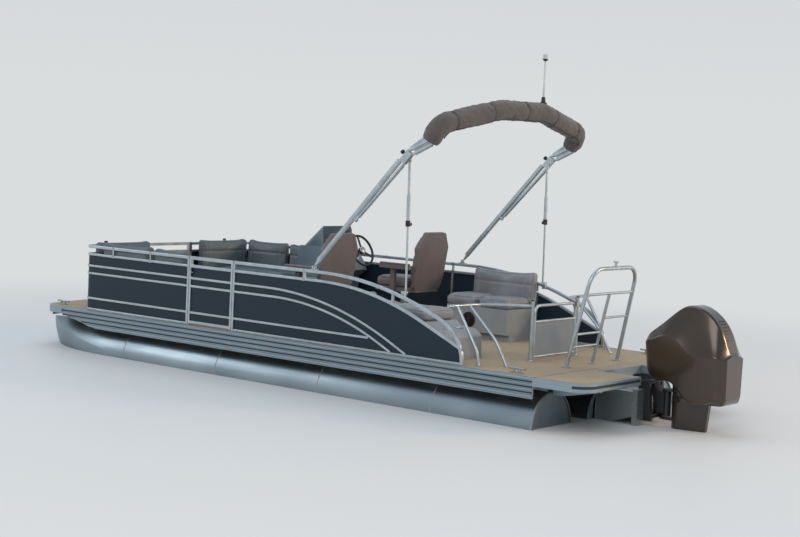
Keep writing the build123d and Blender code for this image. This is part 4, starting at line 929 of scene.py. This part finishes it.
# The gate's body, the place of its hinge line, and the tops of its knuckles
GATE_HINGES = {"side_gate": (GATE_AFT, 1.191, (0.5985, 1.0485)), "bow_gate": (2.846, 0.353, (0.5985, 1.0485)),
               "stern_gate": (-2.504, 0.370, (0.6255, 0.9255))}


def gate_latch(place):
    """A slam latch: its case, its bent lever and the boss that the lever turns on."""
    lever = ((0, 0.004, 0.0155), (0.031, -0.001, 0.0215), (0.056, -0.011, 0.0215))
    lever = [place @ Vector(point) for point in lever]
    out = place.col[2].xyz
    return [block((-0.017, -0.046, 0), (0.018, 0.027, 0.0115), 3, place), swept(lever, [6, 5, 6], False, 10),
            turned([(11, 0), (10, 6), (1, 7)], lever[0] - LATCH_BOSS * out, out, 16)]


side_latch = gate_latch(placed((1.196, RAIL_FACE, LATCH_Z), AFT, UPWARDS, PORT))
bow_latch = gate_latch(placed((2.886, -0.328, LATCH_Z), PORT, UPWARDS, FORE))
stern_latch = [block((-2.555, -0.372, 0.955), (-2.532, -0.325, 0.985), 3),
               turned([(9, 0), (9, 30), (13, 34), (12, 42), (1, 44)], (-2.545, -0.348, 0.984), UPWARDS, 16)]
for gate, latch in (("side_gate", side_latch), ("bow_gate", bow_latch), ("stern_gate", stern_latch)):
    piece(f"{gate}_latch", latch, CAST, gate)
for gate, (x, y, tops) in GATE_HINGES.items():
    pins = [turned([(3.5, 0), (6.2, 1), (5.5, 4), (0.5, 5)], (x, y, z), UPWARDS, 12) for z in tops]
    piece(f"{gate}_hinge_pins", pins, STEEL, gate)

# Posts: caps, bungs, the flanges of the stern rails, and the screws of these and of the tow bar
STERN_POST = (-2.52, 0.39)
# Place on the deck, radius of the flange and reach of its screws
RAIL_FEET = [(-2.440, 1.100, 30, 23), (-2.610, 0.900, 30, 23), (*STERN_POST, 34, 27)]
TOW_BAR_FOOT = (-2.96, 0.45, 0.4802, 34)  # its place and the reach of its screws
piece("bow_post_caps", both([block((2.8530, 0.354, 1.1545), (2.8875, 0.383, 1.1888), 4)]), CAST)
bung = turned([(16.5, 0), (17.2, 4), (14, 11), (1, 13)], (*STERN_POST, 1.04))
piece("stern_post_bungs", both([bung]), BLACK_PLASTIC)
flanges = [turned([(r, 0), (r, 4), (0.92 * r, 5.5), (0.62 * r, 7), (0.55 * r, 13), (0.5 * r, 13.5)],
                  (x, y, DECK_TOP)) for x, y, r, _ in RAIL_FEET]
piece("stern_rail_flanges", both(flanges), CAST)
flange_screws = []
screwed = [(x, y, DECK_TOP + 0.005, reach) for x, y, _, reach in RAIL_FEET] + [TOW_BAR_FOOT]
for x, y, z, reach in screwed:
    for side in (1, -1):
        flange_screws += spots((x, side * y, z), reach, 4, math.radians(45))
set_out("flange_screws", head(SOCKET_SCREW, 4.8), flange_screws, SPOT_SPACING, STEEL)

# Bow lights: a lens under a cowl at each front corner of the top rail
for name, side, lens in (("port", 1, RED_LENS), ("starboard", -1, GREEN_LENS)):
    at = (2.872, side * 0.93, RAIL_TOP)
    shade = turned([(20, 0), (22, 3), (22, 8), (19, 10), (19, 26), (21, 28), (17, 34), (1, 36)], at)
    piece(f"bow_light_{name}", [shade], BLACK_PLASTIC)
    piece(f"bow_light_lens_{name}", [turned([(19.6, 10.5), (20.8, 14), (20.8, 23), (19.6, 26.5)], at)], lens)

# Hull: welds, gussets and drain plugs of the tubes, skirt inserts and bolts
TUBE_Y = 0.930
WELD_RADIUS = 0.3171
WELD_XS = [-3.137, -2.02, -0.62, 0.78, 2.18]
SKIRT_FACE = 1.283

for name, y in (("port", TUBE_Y), ("centre", 0.0), ("starboard", -TUBE_Y)):
    ways = ways_round(PORT, UPWARDS, 72)
    rings = [([Vector((x, y, 0)) + way * WELD_RADIUS for way in ways], ways) for x in WELD_XS]
    set_out(f"tube_welds_{name}", head(WELD_BEAD, 6.5, 7), rings, 7.5, MILL, "hull",
            spread=0.12, closed=True)
    gussets = [block((x - 0.055, y + inner, 0.302), (x + 0.055, y + inner + 0.0075, 0.364))
               for x in WELD_XS[1:] for inner in (-0.052, 0.0445)]
    piece(f"riser_gussets_{name}", gussets, MILL)
    plug = turned([(24, 0), (24, 6), (14, 7), (13, 16), (1, 17)], (-3.138, y, -0.24), AFT, 20)
    piece(f"drain_plug_{name}", [plug], CAST, "hull")

inserts = [strip([((x, SKIRT_FACE, z), PORT) for x in (-3.155, fore)], half, 3.5)
           for z, half, fore in ((0.432, 7.5, 3.155), (0.384, 7.5, 3.155), (0.3345, 8, 2.83))]
piece("skirt_inserts", both(inserts), INSERT, sharp=20)
set_out("skirt_bolts", head(RIVET, 5.5), side_rows(3.1, -3.1, SKIRT_FACE + 0.0086, 0.456), 610, STEEL, "hull")

# Swim platform: flooring, a bumper band round its after corners, and strips on the deck's edges
PLATFORM_AFT = -3.700
CORNER_AT = Vector((-3.510, 1.105, 0))
CORNER_RADIUS = 0.190
FLOOR_INSET = 0.032
NOTCH_SIDE = 0.392
BUMPER_Z = 0.436


def corner(radius, low_angle, high_angle, steps=10):
    """Points round the platform's port after corner, with the ways outwards."""
    turns = [math.radians(low_angle + (high_angle - low_angle) * k / steps) for k in range(steps + 1)]
    ways = [Vector((math.cos(a), math.sin(a), 0)) for a in turns]
    return [(CORNER_AT + way * radius, way) for way in ways]


port_half = [(-3.176, CORNER_AT.y + CORNER_RADIUS - FLOOR_INSET)]
port_half += [tuple(at.xy) for at, _ in corner(CORNER_RADIUS - FLOOR_INSET, 90, 180)]
port_half += [(PLATFORM_AFT + FLOOR_INSET, NOTCH_SIDE), (-3.253, NOTCH_SIDE)]
outline = port_half + [(x, -y) for x, y in reversed(port_half)]
piece("platform_flooring", [plate(outline, 3, 0.8, Matrix.Translation((0, 0, 0.4698)))], FLOORING)
bumper = [(Vector((PLATFORM_AFT, 0.375, 0)), AFT)] + corner(CORNER_RADIUS, 180, 106)
bumper = strip([(at + UPWARDS * BUMPER_Z, way) for at, way in bumper], 13, 4)
piece("platform_bumper", both([bumper]), INSERT, "hull")
side_strip = block((-3.158, 1.248, 0.4701), (3.155, 1.2825, 0.4722), 0.8)
cross_strip = block((-3.172, -1.27, 0.4701), (-3.148, 1.27, 0.4730), 1)
piece("deck_edge_strips", [*both([side_strip]), cross_strip], MILL)

# Lounge bases: speaker grilles, each a bezel, a dish and rings, and cup holders
SPEAKERS = [(2.05, 0.535, -1), (-1.05, 0.585, -1), (2.20, -0.535, 1), (-1.05, -0.625, 1)]  # x, y, side faced
grilles = []
for x, y, side in SPEAKERS:
    at, out = Vector((x, y, 0.66)), PORT * side
    grilles.append(turned([(82, 0), (82, 4), (76, 9), (70, 9), (67, 5), (2, 8)], at, out, 40))
    grilles += [ring(at + out * 0.0085, out, radius, 2.2, 36, 6) for radius in (22, 34, 46, 58)]
piece("speaker_grilles", grilles, BLACK_PLASTIC)
holders = [turned([(47, 0), (47, 1.5), (44, 4.2), (40, 4.2), (38.5, 1.2), (37.5, 0.8), (2, 0.8)],
                  (-1.93, y, 0.7475), UPWARDS, 36) for y in (0.74, 0.90)]
piece("cup_holders", holders, STEEL, "hull")

# Helm: gauges, switches, throttle, wheel cap and grip, hatch pull
DASH_AT = Vector((0.885, 0, 1.152))
DASH_OUT = Vector((-0.7974, 0, 0.6034))
DASH_UP = Vector((0.6034, 0, 0.7974))
GAUGES = [(-1.050, 0.8), (-0.960, -0.5), (-0.700, 2.2)]  # y, angle of the needle in radians
DIAL = 34
BEZEL = [(DIAL + 4, -2), (DIAL + 5, 3), (DIAL + 2, 6), (DIAL - 3, 5), (DIAL - 4, 1.5), (DIAL - 3.5, -4)]
WHEEL_AT = Vector((0.610, -0.820, 1.250))
WHEEL_OUT = Vector((-0.906308, 0, 0.422618))
WHEEL_UP = Vector((0.422618, 0, 0.906308))
GRIP_RADIUS, GRIP_DROP = 0.175, 0.0131

bezels, dials, marks = [], [], []
for y, reading in GAUGES:
    at = DASH_AT + PORT * y
    bezels.append(turned(BEZEL, at, DASH_OUT, 40))
    dials.append(turned([(DIAL - 4.2, -4.2), (DIAL - 4.2, -3.2), (1, -3)], at, DASH_OUT, 40))
    for k in range(11):
        angle = math.radians(-135 + 27 * k)
        way = (DASH_UP * math.cos(angle) + PORT * math.sin(angle)) * DIAL * MM
        face = at - DASH_OUT * 0.0028
        marks.append(swept([face + way * 0.62, face + way * 0.80], 0.8, False, 6))
    way = DASH_UP * math.cos(reading) + PORT * math.sin(reading)
    needle = at - DASH_OUT * 0.0012
    marks.append(swept([needle - way * 0.006, needle + way * (0.7 * DIAL * MM)], [1.2, 0.5], False, 6))
    marks.append(turned([(4, -3.5), (3.6, -0.5), (0.4, 0)], at, DASH_OUT, 12))
piece("gauge_bezels", bezels, STEEL)
piece("gauge_dials", dials, BLACK_PLASTIC)
piece("gauge_marks", marks, WHITE_PLASTIC)

dash = placed(DASH_AT, PORT, DASH_UP, DASH_OUT)
piece("switch_panel", [block((-1.135, -0.103, -0.001), (-0.620, -0.092, 0.004), 2, dash),
                       block((-0.795, 0.050, -0.001), (-0.625, 0.098, 0.0035), 2, dash)], CAST)
rockers = [block((y, 0.060, 0.002), (y + 0.018, 0.088, 0.0085), 3, dash)
           for y in (-0.783 + 0.026 * k for k in range(6))]
piece("rocker_switches", rockers, BLACK_PLASTIC)

throttle = [
    block((0.985, -1.105, 1.268), (1.085, -1.015, 1.300), 8),
    turned([(30, 0), (30, 10), (24, 16), (1, 18)], (1.035, -1.015, 1.305), PORT, 28),
    block((1.000, -1.095, 1.290), (1.070, -1.020, 1.330), 12),
    swept([(1.035, -1.003, 1.305), (1.030, -1.001, 1.345), (1.012, -1.003, 1.40), (0.990, -1.010, 1.435)],
          [9, 7.5, 7, 9], False, 12),
    swept([(0.992, -1.052, 1.437), (0.991, -1.04, 1.438), (0.990, -1.008, 1.438), (0.989, -0.976, 1.437),
           (0.989, -0.968, 1.436)], [9, 14.5, 15.5, 14.5, 8], False, 16),
]
piece("throttle_control", throttle, BLACK_PLASTIC)
wheel_trim = [turned([(40, 12), (41, 19), (34, 26), (14, 30), (1, 31)], WHEEL_AT, WHEEL_OUT, 36),
              ring(WHEEL_AT + WHEEL_OUT * 0.018, WHEEL_OUT, 40.5, 2.2, 40, 8)]
piece("wheel_cap", wheel_trim, CAST, "helm_wheel")
grip = [WHEEL_AT + way * GRIP_RADIUS - WHEEL_OUT * GRIP_DROP for way in ways_round(WHEEL_UP, PORT, 120)]
set_out("wheel_grip_bumps", head(RIVET, 6), [(grip, -WHEEL_OUT)], 16, RUBBER, "helm_wheel", closed=True)
hatch = swept([(1.436, -0.92, 0.985), (1.462, -0.915, 0.985), (1.464, -0.875, 0.985), (1.462, -0.835, 0.985),
               (1.436, -0.83, 0.985)], 6, False, 10)
piece("hatch_pull", [hatch], CAST)

# Chairs: flange bolts and height lever of the pedestal, and arm pads
for name, (body, (x, y)) in CHAIRS.items():
    set_out(f"{name}_flange_bolts", head(BOLT_HEAD, 7, 6), spots((x, y, 0.4862), 125, 6), SPOT_SPACING, STEEL)
    lever = ((0.03, 0.838), (0.10, 0.832), (0.16, 0.818), (0.185, 0.812))
    lever = [(x + out, y + out, z) for out, z in lever]
    piece(f"{name}_height_lever", [swept(lever[:3], [6, 5, 5.5], False, 10),
                                   swept(lever[2:], [9.5, 10.5], False, 12)], BLACK_PLASTIC)
    pads = [block((x - 0.275, y + arm - 0.030, 1.171), (x + 0.115, y + arm + 0.030, 1.190), 8)
            for arm in (-0.290, 0.290)]
    piece(f"{name}_arm_pads", pads, BROWN_VINYL, body)

# Light pole: its base in the boot and the collar under its lens
pole_at = Vector((BOOT_FOOT[0], -0.350, BOOT_FOOT[1])) + BOOT_UP * BOOT_TOP
pole_fittings = [
    turned([(34, 76), (36, 82), (36, 100), (22, 106), (19, 150), (12.5, 156)], pole_at, UPWARDS, 28),
    turned([(12.5, 0), (20, 6), (27, 12), (27.5, 20), (26.5, 21)], (pole_at.x, -0.350, 3.323), UPWARDS, 28),
]
piece("light_pole_fittings", pole_fittings, BLACK_PLASTIC, "bimini")

# Bimini: oval tracks over its tubes, knobs, strut collars and pin heads
BIMINI_PIVOT = (-0.500, 1.212)
BIMINI_LEAN = math.radians(47.2)
LEG_FOOT_Y, LEG_TOP_Y, LEG_LENGTH = 1.215, 1.190, 1.835
# Each track's start and end (distance up the leaning plane and drop below it), half depth and half width
LEG_TRACKS = [
    ((0.075, -0.006), (1.470, -0.008), 0.026, 0.0195), ((0.735, 0.034), (1.475, 0.0555), 0.0190, 0.0145),
    ((1.645, 0.019), (1.850, 0.104), 0.0260, 0.0195), ((1.628, 0.067), (1.850, 0.156), 0.0230, 0.0145),
    ((1.625, 0.0025), (1.850, 0.0565), 0.0170, 0.0130),
]
STRUT_AT = Vector((-1.588, 1.152, 1.681))
STRUT_UP = Vector((0.0194, 0, 0.9998))
PIN_HEAD = [(11, 0), (11, 2), (8, 4.5), (1, 5)]


def on_leg(up, drop):
    """A point of the port leg, up its leaning plane and dropped below it."""
    x = BIMINI_PIVOT[0] - up * math.cos(BIMINI_LEAN) - drop * math.sin(BIMINI_LEAN)
    z = BIMINI_PIVOT[1] + up * math.sin(BIMINI_LEAN) - drop * math.cos(BIMINI_LEAN)
    return Vector((x, LEG_FOOT_Y + (LEG_TOP_Y - LEG_FOOT_Y) * up / LEG_LENGTH, z))


def leg_track(start, end, half_deep, half_wide):
    start, end = on_leg(*start), on_leg(*end)
    along = (end - start).normalized()
    deep = PORT.cross(along).normalized()
    size = (half_deep, half_wide, (end - start).length)
    return block((-half_deep, -half_wide, 0), size, 12, placed(start, deep, along.cross(deep), along))


piece("bimini_leg_tracks", both([leg_track(*row) for row in LEG_TRACKS]), RAILS, "bimini")
knob = turned([(9, 0), (9, 16), (20, 19), (22, 26), (20, 40), (1, 43)], on_leg(1.545, -0.012),
              on_leg(0, -1) - on_leg(0, 0), 18)
piece("bimini_knobs", both([knob]), BLACK_PLASTIC, "bimini")
strut_grip = [turned([(18.5, 0), (23.5, 3), (23.5, 52), (18.5, 56)], STRUT_AT, STRUT_UP, 20),
              turned([(12, -12), (15, -8), (15, 3), (12, 6), (1, 7)], (-1.5876, 1.110, 1.702), STARBOARD, 18)]
piece("strut_grip_port", strut_grip, BLACK_PLASTIC, "strut_sleeve_port")
piece("strut_grip_starboard", [mirrored(shape) for shape in strut_grip], BLACK_PLASTIC,
      "strut_sleeve_starboard")
pin_heads = [turned(PIN_HEAD, at, way, 16) for at, way in (((-0.500, 1.2345, 1.212), PORT),
                                                           ((-0.500, 1.1955, 1.212), STARBOARD),
                                                           ((-1.600, 1.1385, 1.062), STARBOARD))]
piece("bimini_pin_heads", both(pin_heads), STEEL)

# Motor: gasket, vents and latch of the cowl with the rigging grommet, bolts, anode, plugs and propeller nut
VENTS = 7
VENT_FROM, VENT_TO = Vector((-4.275, 0, 1.01)), Vector((-4.372, 0, 0.85))
cowl_mesh = node_objects["outboard_cowl"].data
gasket = swept(section_loop(cowl_mesh, (-4.0, 0, 0.524), UPWARDS), 4.2, True)
piece("cowl_gasket", [gasket], RUBBER, "motor")
cowl_surface = surface_of(cowl_mesh)
vents = []
for index in range(VENTS):
    at, out, _, _ = cowl_surface.find_nearest(VENT_FROM.lerp(VENT_TO, index / (VENTS - 1)))
    place = placed(at, PORT, out.cross(PORT), out)
    vents.append(block((-0.052, -0.0065, -0.004), (0.052, 0.0065, 0.0022), 2, place))
piece("cowl_vents", vents, BLACK_PLASTIC, "motor")
cowl_latch = [block((-3.607, -0.058, 0.583), (-3.594, 0.058, 0.622), 5),
              block((-3.600, -0.040, 0.596), (-3.587, 0.040, 0.612), 5),
              turned([(31, 0), (30, 6), (22, 10), (19, 16), (1, 17)], (-3.606, -0.082, 0.672), FORE)]
piece("cowl_latch", cowl_latch, BLACK_PLASTIC, "motor")
transom_bolts = [([(-3.5598, y, 0.10), (-3.5598, y, 0.26)], FORE) for y in (0.1125, -0.1125)]
set_out("transom_bolts", head(BOLT_HEAD, 11, 6), transom_bolts, 160, STEEL, "hull")
piece("clamp_anode", [block((-3.665, -0.094, 0.042), (-3.613, 0.094, 0.060), 3)], MILL)
plug = turned([(9, 0), (9, 2), (6, 3), (1, 3)], (-3.99, 0.0545, -0.505), PORT, 16)
piece("gearcase_plugs", both([plug]), STEEL, "motor")
nut = turned([(13.5, 0), (13.5, 10), (10, 12), (8, 16), (1, 17)], (-4.2525, 0, -0.505), AFT, 6)
piece("propeller_nut", [nut], STEEL, "propeller")
